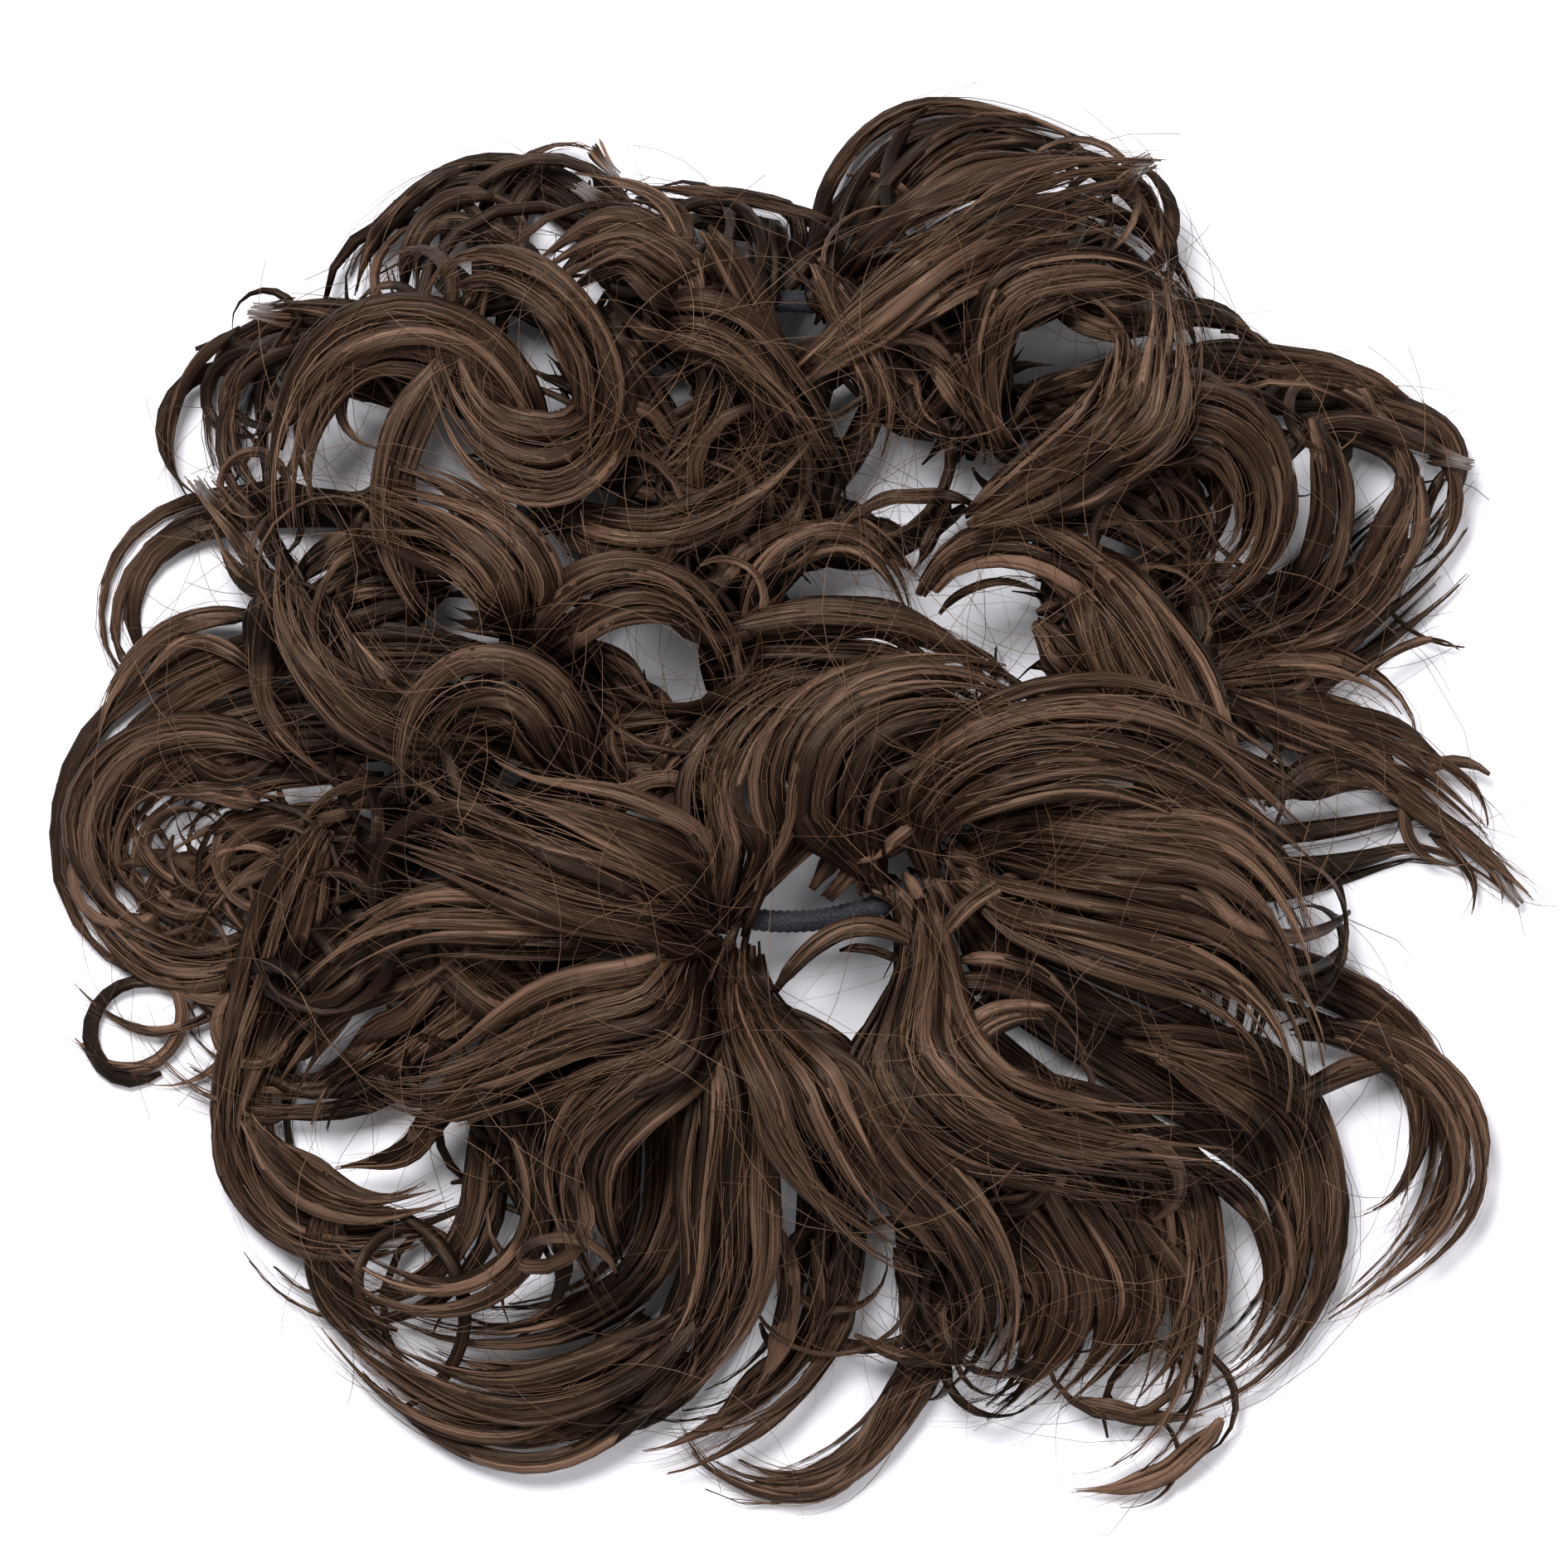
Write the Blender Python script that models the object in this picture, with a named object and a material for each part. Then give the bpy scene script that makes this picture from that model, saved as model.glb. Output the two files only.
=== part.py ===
"""A top knot hairpiece: curled false hair on an elastic loop, as it lies when laid out flat.

The elastic band is an oval loop. One hair weft lies under it and one lies on it, and each weft
carries its curled locks. A lock leaves its weft, swings round a crest and ends in a thin tip.
Seen from above, the lower locks make the outer curls that rest on the floor, and the upper ones
pile up round the loop and leave its middle open. Metres, +Z up, with the lowest locks on z = 0.
"""

import math
from typing import NamedTuple

import bmesh
import bpy
from mathutils import Vector
from mathutils.geometry import interpolate_bezier

# Driving dimensions
PLAN_REACH = 0.180  # the plan length that 100 per cent stands for in the lock tables
PILE_HEIGHT = 0.058  # top of the highest lock over the floor

BAND_HALF_WIDTH = 0.0594  # of the band's centreline, along X
BAND_HALF_LENGTH = 0.0666  # the same along Y
BAND_AHEAD = 0.0405  # of the plan's middle, where the band's own middle lies along Y
BAND_THICKNESS = 0.005  # diameter of the elastic
BAND_HEIGHT = 0.0215  # of the elastic's centre over the floor

WEFT_WIDTH = 0.010
WEFT_THICKNESS = 0.0032
SEAT_GAP = 0.0003  # between the elastic and the weft under or over it

LOCK_WIDTH = 0.0120  # of a lock with a width of 100 per cent
LOCK_THICKNESS = 0.0042  # of the same lock
FLAT_SHARE = 0.6  # of a lock's width, along its flat top and bottom

# How a lock's size changes along its length, as shares
TIP_SIZE = 0.12
FULL_FROM = 0.22
FULL_TO = 0.60
LAID_FROM = 0.38  # where it has come from its weft to its own height

BAND_STEPS = 48
WEFT_STEPS = 40
BOW_STEPS = 6  # of each of a lock's two bows


class Layer(NamedTuple):
    """The heights that a weft and its locks keep to."""

    floor: float
    top: float
    weft: float


class Lock(NamedTuple):
    """One lock. Places and width are percentages, and ways are degrees round from +X."""

    root: float  # where round the band it starts, in degrees
    leaves: float  # the way it heads there
    crest_x: float
    crest_y: float
    crest_way: float
    tip_x: float
    tip_y: float
    tip_way: float
    width: float  # of LOCK_WIDTH
    crest_lift: float  # of its layer's depth
    tip_lift: float  # of its layer's depth


BAND_BOTTOM = BAND_HEIGHT - BAND_THICKNESS / 2
BAND_TOP = BAND_HEIGHT + BAND_THICKNESS / 2
LOWER = Layer(0.0, BAND_BOTTOM - SEAT_GAP, BAND_BOTTOM - SEAT_GAP - WEFT_THICKNESS / 2)
UPPER = Layer(BAND_TOP + SEAT_GAP, PILE_HEIGHT, BAND_TOP + SEAT_GAP + WEFT_THICKNESS / 2)

LOWER_LOCKS = (
    # root, leaves, crest x, y and way, tip x, y and way, width, crest lift, tip lift
    Lock(167, 165, -82, 21, 270, -63, 14, 20, 45, 0, 0),
    Lock(150, 130, -69, 45, 270, -61, 35, 0, 65, 0, 12),
    Lock(125, 80, -45, 73, 215, -54, 59, 275, 55, 12, 0),
    Lock(118, 165, -36, 68, 80, -21, 74, 290, 50, 45, 20),
    Lock(95, 80, -2, 70, 170, -20, 73, 180, 55, 60, 35),
    Lock(85, 80, 21, 82, 355, 43, 75, 335, 85, 8, 0),
    Lock(55, 60, 36, 70, 345, 49, 51, 265, 60, 45, 25),
    Lock(40, 16, 67, 50, 352, 78, 41, 275, 110, 0, 8),
    Lock(352, 335, 68, 24, 42, 81, 38, 75, 140, 12, 0),
    Lock(345, 350, 64, 15, 350, 74, 6, 262, 100, 38, 10),
    Lock(330, 318, 72, -4, 18, 90, -12, 318, 65, 18, 0),
    Lock(308, 316, 78, -34, 292, 66, -61, 215, 80, 0, 5),
    Lock(325, 320, 56, -21, 265, 51, -37, 240, 120, 55, 35),
    Lock(295, 315, 64, -46, 288, 45, -74, 190, 125, 18, 0),
    Lock(285, 295, 49, -62, 272, 35, -82, 185, 85, 45, 6),
    Lock(280, 290, 34, -60, 275, 20, -74, 180, 85, 28, 10),
    Lock(274, 290, 14, -73, 235, -13, -78, 115, 55, 10, 0),
    Lock(268, 282, 5, -61, 255, -19, -74, 160, 80, 55, 25),
    Lock(262, 265, -26, -75, 178, -55, -63, 128, 105, 6, 0),
    Lock(250, 245, -21, -60, 215, -49, -60, 145, 85, 45, 28),
    Lock(200, 220, -66, -42, 275, -45, -53, 10, 95, 14, 4),
    Lock(238, 215, -36, -47, 265, -64, -55, 125, 60, 60, 0),
    Lock(215, 235, -53, -36, 190, -77, -28, 115, 75, 38, 0),
    Lock(190, 165, -85, -7, 270, -65, -20, 20, 90, 0, 8),
    Lock(205, 170, -73, 4, 215, -80, -12, 285, 70, 40, 22),
)

UPPER_LOCKS = (
    Lock(155, 85, -45, 56, 180, -60, 31, 280, 95, 35, 12),
    Lock(127, 275, -29, 38, 180, -43, 55, 95, 85, 62, 45),
    Lock(187, 65, -34, 29, 132, -51, 37, 165, 96, 75, 30),
    Lock(105, 110, -17, 66, 150, -31, 61, 205, 80, 45, 30),
    Lock(80, 55, 22, 70, 32, 43, 75, 0, 135, 40, 25),
    Lock(118, 40, -9, 56, 345, 4, 42, 300, 85, 62, 35),
    Lock(160, 335, -14, 32, 12, 2, 43, 50, 85, 30, 25),
    Lock(25, 25, 44, 47, 75, 44, 60, 100, 115, 80, 62),
    Lock(42, 120, 30, 62, 10, 48, 57, 300, 75, 50, 28),
    Lock(30, 25, 56, 42, 300, 50, 24, 200, 95, 38, 12),
    Lock(12, 320, 42, 20, 300, 58, -2, 318, 130, 50, 20),
    Lock(293, 95, 33, 7, 0, 64, -8, 318, 116, 80, 22),
    Lock(308, 30, 46, -6, 0, 61, -21, 285, 90, 55, 25),
    Lock(300, 340, 48, -18, 345, 61, -36, 262, 85, 32, 12),
    Lock(288, 275, 27, -39, 345, 51, -43, 355, 114, 62, 30),
    Lock(278, 285, 17, -43, 315, 23, -70, 240, 109, 42, 8),
    Lock(272, 265, 1, -40, 300, 16, -54, 345, 111, 82, 50),
    Lock(267, 262, -5, -51, 272, -15, -71, 220, 107, 25, 5),
    Lock(269, 250, -25, -38, 228, -23, -59, 300, 105, 48, 20),
    Lock(260, 240, -20, -27, 188, -47, -35, 172, 102, 66, 25),
    Lock(250, 200, -41, -14, 180, -57, -22, 225, 85, 45, 14),
    Lock(268, 180, -27, -12, 160, -47, -5, 165, 120, 70, 42),
    Lock(263, 150, -25, -4, 157, -41, 2, 150, 117, 85, 58),
    Lock(222, 85, -35, 15, 180, -45, 2, 275, 100, 92, 66),
    Lock(205, 180, -53, 13, 130, -59, 28, 85, 120, 48, 30),
    Lock(193, 60, -18, 25, 0, -7, 14, 275, 108, 70, 35),
    Lock(265, 110, -9, 1, 88, 3, 15, 15, 113, 45, 40),
    Lock(275, 80, 8, 9, 38, 31, 9, 335, 119, 62, 55),
)


def clear_scene():
    for obj in list(bpy.data.objects):
        bpy.data.objects.remove(obj)


def new_collection(name):
    collection = bpy.data.collections.new(name)
    bpy.context.scene.collection.children.link(collection)
    return collection


def new_material(name, colour, roughness):
    material = bpy.data.materials.new(name)
    material.use_nodes = True
    shader = material.node_tree.nodes["Principled BSDF"]
    shader.inputs["Base Color"].default_value = (*colour, 1.0)
    shader.inputs["Roughness"].default_value = roughness
    shader.inputs["Metallic"].default_value = 0.0
    material.diffuse_color = (*colour, 1.0)
    return material


def smoothstep(share):
    share = min(max(share, 0.0), 1.0)
    return share * share * (3.0 - 2.0 * share)


def heading(degrees):
    """The flat unit vector that points this way."""
    return Vector((math.cos(math.radians(degrees)), math.sin(math.radians(degrees)), 0.0))


def band_point(degrees, outward=0.0):
    """A place on the band's oval, or as far outside it as asked, at height 0."""
    way = heading(degrees)
    return Vector(
        (
            way.x * (BAND_HALF_WIDTH + outward),
            BAND_AHEAD + way.y * (BAND_HALF_LENGTH + outward),
            0.0,
        )
    )


def oval(outward, height, steps):
    rise = Vector((0.0, 0.0, height))
    return [band_point(360.0 * i / steps, outward) + rise for i in range(steps)]


def add_poly_spline(curve, points, sizes=None, cyclic=False):
    spline = curve.splines.new("POLY")
    spline.points.add(len(points) - 1)
    for i, point in enumerate(points):
        spline.points[i].co = (*point, 1.0)
        spline.points[i].radius = sizes[i] if sizes else 1.0
    spline.use_cyclic_u = cyclic


def curve_object(name, collection, dimensions="3D"):
    curve = bpy.data.curves.new(name, "CURVE")
    curve.dimensions = dimensions
    obj = bpy.data.objects.new(name, curve)
    collection.objects.link(obj)
    return obj


def as_mesh(obj, collection):
    """The object as a mesh with its caps welded on, in place of the curve that it was."""
    graph = bpy.context.evaluated_depsgraph_get()
    mesh = bpy.data.meshes.new_from_object(obj.evaluated_get(graph))
    work = bmesh.new()
    work.from_mesh(mesh)
    bmesh.ops.remove_doubles(work, verts=work.verts, dist=0.00001)
    bmesh.ops.recalc_face_normals(work, faces=work.faces)
    work.to_mesh(mesh)
    work.free()
    name, place, parent = obj.name, obj.matrix_world.copy(), obj.parent
    bpy.data.objects.remove(obj)
    made = bpy.data.objects.new(name, mesh)
    made.matrix_world = place
    made.parent = parent
    collection.objects.link(made)
    return made


def make_elastic_band(collection, material):
    band = curve_object("elastic_band", collection)
    add_poly_spline(band.data, oval(0.0, BAND_HEIGHT, BAND_STEPS), cyclic=True)
    band.data.bevel_depth = BAND_THICKNESS / 2
    band.data.bevel_resolution = 2
    band.data.materials.append(material)
    return band


def make_weft(name, layer, collection, material):
    """A flat oval strip along the band, as a ring with a true hole."""
    weft = curve_object(name, collection, "2D")
    add_poly_spline(weft.data, oval(WEFT_WIDTH / 2, 0.0, WEFT_STEPS), cyclic=True)
    add_poly_spline(weft.data, oval(-WEFT_WIDTH / 2, 0.0, WEFT_STEPS), cyclic=True)
    weft.data.fill_mode = "BOTH"
    weft.data.extrude = WEFT_THICKNESS / 2
    weft.data.materials.append(material)
    weft.location.z = layer.weft
    bpy.context.view_layer.update()
    return as_mesh(weft, collection)


def lock_profile(collection):
    """A flattened hexagon, lying flat, that every lock is swept with."""
    profile = curve_object("lock_profile", collection, "2D")
    half_width, half_thickness = LOCK_WIDTH / 2, LOCK_THICKNESS / 2
    half_flat = half_width * FLAT_SHARE
    corners = [
        (half_width, 0.0, 0.0),
        (half_flat, half_thickness, 0.0),
        (-half_flat, half_thickness, 0.0),
        (-half_width, 0.0, 0.0),
        (-half_flat, -half_thickness, 0.0),
        (half_flat, -half_thickness, 0.0),
    ]
    add_poly_spline(profile.data, corners, cyclic=True)
    profile.hide_render = True
    profile.display_type = "WIRE"
    return profile


def bow(start, start_way, end, end_way):
    """Points of one smooth bend, which is a true arc where both ends meet the chord alike."""
    turn = math.radians((end_way - start_way + 180.0) % 360.0 - 180.0)
    reach = (end - start).length / (3.0 * math.cos(turn / 4.0) ** 2)
    return interpolate_bezier(
        start,
        start + heading(start_way) * reach,
        end - heading(end_way) * reach,
        end,
        BOW_STEPS + 1,
    )


def size_along(lock, share):
    """A lock's size at this share of its length, against one of LOCK_WIDTH by LOCK_THICKNESS."""
    full = lock.width / 100.0
    fitting = WEFT_THICKNESS / LOCK_THICKNESS
    root = full * fitting / (full + fitting)
    if share < FULL_FROM:
        return root + (full - root) * smoothstep(share / FULL_FROM)
    return full * (1.0 - (1.0 - TIP_SIZE) * smoothstep((share - FULL_TO) / (1.0 - FULL_TO)))


def height_along(lock, layer, share, size):
    """The height of a lock's centre: its weft's at the root, then what its lifts say."""
    lift = lock.crest_lift + (lock.tip_lift - lock.crest_lift) * smoothstep(2.0 * share - 1.0)
    room = layer.top - layer.floor - LOCK_THICKNESS * size
    laid = layer.floor + LOCK_THICKNESS * size / 2 + room * lift / 100.0
    return layer.weft + (laid - layer.weft) * smoothstep(share / LAID_FROM)


def make_lock(name, lock, layer, profile, collection, material):
    crest = Vector((lock.crest_x, lock.crest_y, 0.0)) * (PLAN_REACH / 100.0)
    tip = Vector((lock.tip_x, lock.tip_y, 0.0)) * (PLAN_REACH / 100.0)
    inner = bow(band_point(lock.root), lock.leaves, crest, lock.crest_way)
    outer = bow(crest, lock.crest_way, tip, lock.tip_way)
    points = inner + outer[1:]
    sizes = []
    for i, point in enumerate(points):
        share = i / (len(points) - 1)
        size = size_along(lock, share)
        point.z = height_along(lock, layer, share, size)
        sizes.append(size)
    obj = curve_object(name, collection)
    add_poly_spline(obj.data, points, sizes)
    obj.data.twist_mode = "Z_UP"
    obj.data.bevel_mode = "OBJECT"
    obj.data.bevel_object = profile
    obj.data.use_fill_caps = True
    obj.data.materials.append(material)
    bpy.context.view_layer.update()
    made = as_mesh(obj, collection)
    made.hide_render = True
    made.display_type = "WIRE"
    return made


def make_hair(name, layer, locks, profile, parts, helpers, material):
    """A weft with its locks joined on. Gives the node and the locks that it is joined from."""
    weft = make_weft(name, layer, parts, material)
    joined = []
    for number, lock in enumerate(locks, 1):
        made = make_lock(f"{name}_lock_{number}", lock, layer, profile, helpers, material)
        join = weft.modifiers.new(made.name, "BOOLEAN")
        join.operation = "UNION"
        join.solver = "EXACT"
        join.object = made
        joined.append(made)
    return weft, joined


def stand_on_origin(pieces):
    """Parents the pieces to an empty that brings their middle over the origin and their foot to 0."""
    bpy.context.view_layer.update()
    graph = bpy.context.evaluated_depsgraph_get()
    low = Vector((math.inf,) * 3)
    high = Vector((-math.inf,) * 3)
    for piece in pieces:
        mesh = piece.evaluated_get(graph).to_mesh() if piece.type == "CURVE" else piece.data
        for vertex in mesh.vertices:
            place = piece.matrix_world @ vertex.co
            low = Vector(map(min, low, place))
            high = Vector(map(max, high, place))
    holder = bpy.data.objects.new("hairpiece_origin", None)
    holder.location = (-(low.x + high.x) / 2, -(low.y + high.y) / 2, -low.z)
    bpy.context.scene.collection.objects.link(holder)
    for piece in pieces:
        piece.parent = holder


def main():
    clear_scene()
    parts = new_collection("top_knot_hairpiece")
    helpers = new_collection("hairpiece_helpers")
    helpers.hide_render = True
    elastic = new_material("elastic", (0.012, 0.012, 0.020), 0.75)
    hair = new_material("hair", (0.055, 0.032, 0.022), 0.45)
    profile = lock_profile(helpers)
    band = make_elastic_band(parts, elastic)
    lower, lower_locks = make_hair(
        "lower_weft_locks", LOWER, LOWER_LOCKS, profile, parts, helpers, hair
    )
    upper, upper_locks = make_hair(
        "upper_weft_locks", UPPER, UPPER_LOCKS, profile, parts, helpers, hair
    )
    stand_on_origin([band, lower, upper, *lower_locks, *upper_locks])


main()
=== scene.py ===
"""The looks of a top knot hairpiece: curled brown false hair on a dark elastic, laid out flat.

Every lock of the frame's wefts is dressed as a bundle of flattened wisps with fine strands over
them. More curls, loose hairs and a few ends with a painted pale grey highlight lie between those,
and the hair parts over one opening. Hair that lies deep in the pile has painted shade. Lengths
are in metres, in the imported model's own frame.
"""

import math
from collections import namedtuple

import bpy
import numpy as np
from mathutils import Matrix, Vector


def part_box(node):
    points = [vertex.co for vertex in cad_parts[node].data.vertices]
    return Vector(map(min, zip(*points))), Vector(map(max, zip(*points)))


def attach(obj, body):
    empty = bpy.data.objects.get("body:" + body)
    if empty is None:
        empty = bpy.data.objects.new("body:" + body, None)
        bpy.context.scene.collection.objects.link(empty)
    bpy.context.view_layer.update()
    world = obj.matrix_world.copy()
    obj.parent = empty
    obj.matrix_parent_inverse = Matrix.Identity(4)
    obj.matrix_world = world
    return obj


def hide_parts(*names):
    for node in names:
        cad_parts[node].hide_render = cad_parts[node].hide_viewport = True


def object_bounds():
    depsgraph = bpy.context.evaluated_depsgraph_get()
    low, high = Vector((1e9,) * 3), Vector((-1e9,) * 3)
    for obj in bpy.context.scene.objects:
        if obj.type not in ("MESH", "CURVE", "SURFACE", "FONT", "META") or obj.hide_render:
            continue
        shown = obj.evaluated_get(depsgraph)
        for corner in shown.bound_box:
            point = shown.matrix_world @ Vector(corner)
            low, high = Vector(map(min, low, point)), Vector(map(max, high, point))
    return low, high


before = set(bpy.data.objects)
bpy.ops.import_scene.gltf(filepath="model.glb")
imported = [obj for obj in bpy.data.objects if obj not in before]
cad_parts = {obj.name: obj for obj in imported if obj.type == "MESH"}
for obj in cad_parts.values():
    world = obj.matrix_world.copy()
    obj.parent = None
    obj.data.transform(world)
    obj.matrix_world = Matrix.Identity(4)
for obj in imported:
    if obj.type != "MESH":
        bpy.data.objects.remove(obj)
CAD_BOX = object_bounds()

# The frame's sizes, as the construction has them
PLAN_REACH = 0.180  # the plan length of 100 per cent in the tables
PILE_HEIGHT = 0.058
BAND_HALF_WIDTH = 0.0594
BAND_HALF_LENGTH = 0.0666
BAND_AHEAD = 0.0405
BAND_THICKNESS = 0.005
BAND_HEIGHT = 0.0215
WEFT_THICKNESS = 0.0032
SEAT_GAP = 0.0003
LOCK_WIDTH = 0.0120  # of 100 per cent in the tables, as the thickness is
LOCK_THICKNESS = 0.0042
LAID_FROM = 0.38  # of a lock's length, from which it lies at its own height
PLAN_UNIT = PLAN_REACH / 100.0

# The photograph's view, straight down, with its frame's middle beside the object's own
CAMERA_HEIGHT = 2.0
CAMERA_X, CAMERA_Y = -0.0028, 0.0033
FRAME_SIDE = 0.3404  # of the floor that the frame takes in
SENSOR_WIDTH = 36.0

# The rings along each kind of hair and the sides round it
RIBBON_RINGS, RIBBON_SIDES = 22, 8
WISP_RINGS, WISP_SIDES = 18, 5
CURL_RINGS, CURL_SIDES = 18, 6
ROOT_RINGS = 9
STRAND_RINGS, STRAND_SIDES = 15, 3
RIDGE = 0.3  # how uneven the thickness is round a hair that isn't a fine strand
MOST_PIECE_TRIANGLES = 195000
CORD_WIDTH = 0.0036  # about how wide a lock's part is
SEED = 7
UPPER_FROM = 0.42  # the share of the pile's height over which a curl belongs to the upper weft
ROOT_HAIRS = 130  # for each weft, before those over the bare band are left out
# How many to a millimetre of a lock's width, how far astray they end, and their girth
STRANDS, FLYAWAYS = (1.15, 0.0013, 1.0), (0.36, 0.008, 0.75)

# The dark, middle and light colours of the wisps and of the fine strands, and their ramp's stops. Painted
# shade draws deep hair towards the dark colour.
WISP_COLOURS = (0.0030, 0.0015, 0.0010), (0.021, 0.0105, 0.0065), (0.185, 0.106, 0.071)
STRAND_COLOURS = (0.018, 0.0085, 0.0048), (0.070, 0.037, 0.022), (0.24, 0.145, 0.095)
TUFT_HIGHLIGHT_GREY = (0.17, 0.15, 0.145)  # painted highlight: the pale grey of the tufts' ends
DARK_STOP, MID_STOP, LIGHT_STOP = 0.42, 0.66, 0.96

# Streaks in the hair: their rates across and along it, coarse, medium and fine, and their weights
STREAK_RATES = (1300.0, 26.0), (3400.0, 34.0), (6600.0, 50.0)
COARSE_WEIGHT, MEDIUM_WEIGHT, FINE_WEIGHT = 0.34, 0.42, 0.56
# How far each hair's own tone and its painted shade move it along the ramp
TONE_AND_SHADE_WEIGHT = 0.125
TIP_WEIGHT, TIP_POWER = 0.12, 4.0  # how much lighter a hair is at its tip, and how late
KIN_SPREAD = 400.0  # how far apart the streaks of two hairs are read
HAIR_RELIEF = {"Strength": 0.8, "Distance": 0.0003}
HAIR_SHADER = {"Roughness": 0.36, "Specular IOR Level": 0.20, "Specular Tint": (1.0, 0.74, 0.56, 1.0)}

ELASTIC_DARK, ELASTIC_LIGHT = (0.005, 0.005, 0.008), (0.030, 0.030, 0.044)
ELASTIC_STOPS = (0.35, 0.75)
ELASTIC_NOISE = {"Scale": 1600.0, "Detail": 2.0}
ELASTIC_BUMP = {"Strength": 0.5, "Distance": 0.0002}
ELASTIC_SHADER = {"Roughness": 0.75, "Specular IOR Level": 0.3, "Sheen Weight": 0.08}
ELASTIC_STEPS, ELASTIC_SIDES = 880, 10
ELASTIC_RIBS, ELASTIC_STARTS = 220, 2  # the ribs all round, and how many lie side by side
ELASTIC_RELIEF = 0.06  # of the cord's radius

FLOOR_SIZE = 6.0  # from its middle to each side
FLOOR_SHADER = {"Base Color": (0.90, 0.885, 0.935, 1.0), "Roughness": 0.9, "Specular IOR Level": 0.1}
# Each light's name, place, width and power. Both are aimed at the middle of the floor.
LIGHTS = (("key", (-0.42, 0.78, 1.6), 0.75, 41.0), ("fill", (0.9, -0.3, 1.4), 0.9, 10.0))
SKY_STRENGTH = 0.32


# The heights that a weft and its locks keep to
Layer = namedtuple("Layer", "floor top weft")


# A lock that is rooted in a weft, as the construction has it, in degrees and percentages
Lock = namedtuple(
    "Lock", "root leaves crest_x crest_y crest_way tip_x tip_y tip_way width crest_lift tip_lift"
)


# A lock that starts under other hair, not in a weft. Its heights are percentages of the pile's.
Curl = namedtuple(
    "Curl",
    "start_x start_y start_way crest_x crest_y crest_way tip_x tip_y tip_way width"
    " start_high crest_high tip_high",
)


# A lock's centreline, from its root to a little past its tip, its full width, and how high in
# the pile it lies, from 0 to 1
Path = namedtuple("Path", "points width level")


BAND_BOTTOM = BAND_HEIGHT - BAND_THICKNESS / 2
BAND_TOP = BAND_HEIGHT + BAND_THICKNESS / 2
LOWER = Layer(0.0, BAND_BOTTOM - SEAT_GAP, BAND_BOTTOM - SEAT_GAP - WEFT_THICKNESS / 2)
UPPER = Layer(BAND_TOP + SEAT_GAP, PILE_HEIGHT, BAND_TOP + SEAT_GAP + WEFT_THICKNESS / 2)

LOWER_LOCKS = (
    # root, leaves, crest x, y and way, tip x, y and way, width, crest lift, tip lift
    (167, 165, -82, 21, 270, -63, 14, 20, 45, 0, 0),
    (150, 130, -69, 45, 270, -61, 35, 0, 65, 0, 12),
    (125, 80, -45, 73, 215, -54, 59, 275, 55, 12, 0),
    (118, 165, -36, 68, 80, -21, 74, 290, 50, 45, 20),
    (95, 80, -2, 70, 170, -20, 73, 180, 55, 60, 35),
    (85, 80, 21, 82, 355, 43, 75, 335, 85, 8, 0),
    (55, 60, 36, 70, 345, 49, 51, 265, 60, 45, 25),
    (40, 16, 67, 50, 352, 78, 41, 275, 110, 0, 8),
    (352, 335, 68, 24, 42, 81, 38, 75, 140, 12, 0),
    (345, 350, 64, 15, 350, 74, 6, 262, 100, 38, 10),
    (330, 318, 72, -4, 18, 90, -12, 318, 65, 18, 0),
    (308, 316, 78, -34, 292, 66, -61, 215, 80, 0, 5),
    (325, 320, 56, -21, 265, 51, -37, 240, 120, 55, 35),
    (295, 315, 64, -46, 288, 45, -74, 190, 125, 18, 0),
    (285, 295, 49, -62, 272, 35, -82, 185, 85, 45, 6),
    (280, 290, 34, -60, 275, 20, -74, 180, 85, 28, 10),
    (274, 290, 14, -73, 235, -13, -78, 115, 55, 10, 0),
    (268, 282, 5, -61, 255, -19, -74, 160, 80, 55, 25),
    (262, 265, -26, -75, 178, -55, -63, 128, 105, 6, 0),
    (250, 245, -21, -60, 215, -49, -60, 145, 85, 45, 28),
    (200, 220, -66, -42, 275, -45, -53, 10, 95, 14, 4),
    (238, 215, -36, -47, 265, -64, -55, 125, 60, 60, 0),
    (215, 235, -53, -36, 190, -77, -28, 115, 75, 38, 0),
    (190, 165, -85, -7, 270, -65, -20, 20, 90, 0, 8),
    (205, 170, -73, 4, 215, -80, -12, 285, 70, 40, 22),
)

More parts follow.
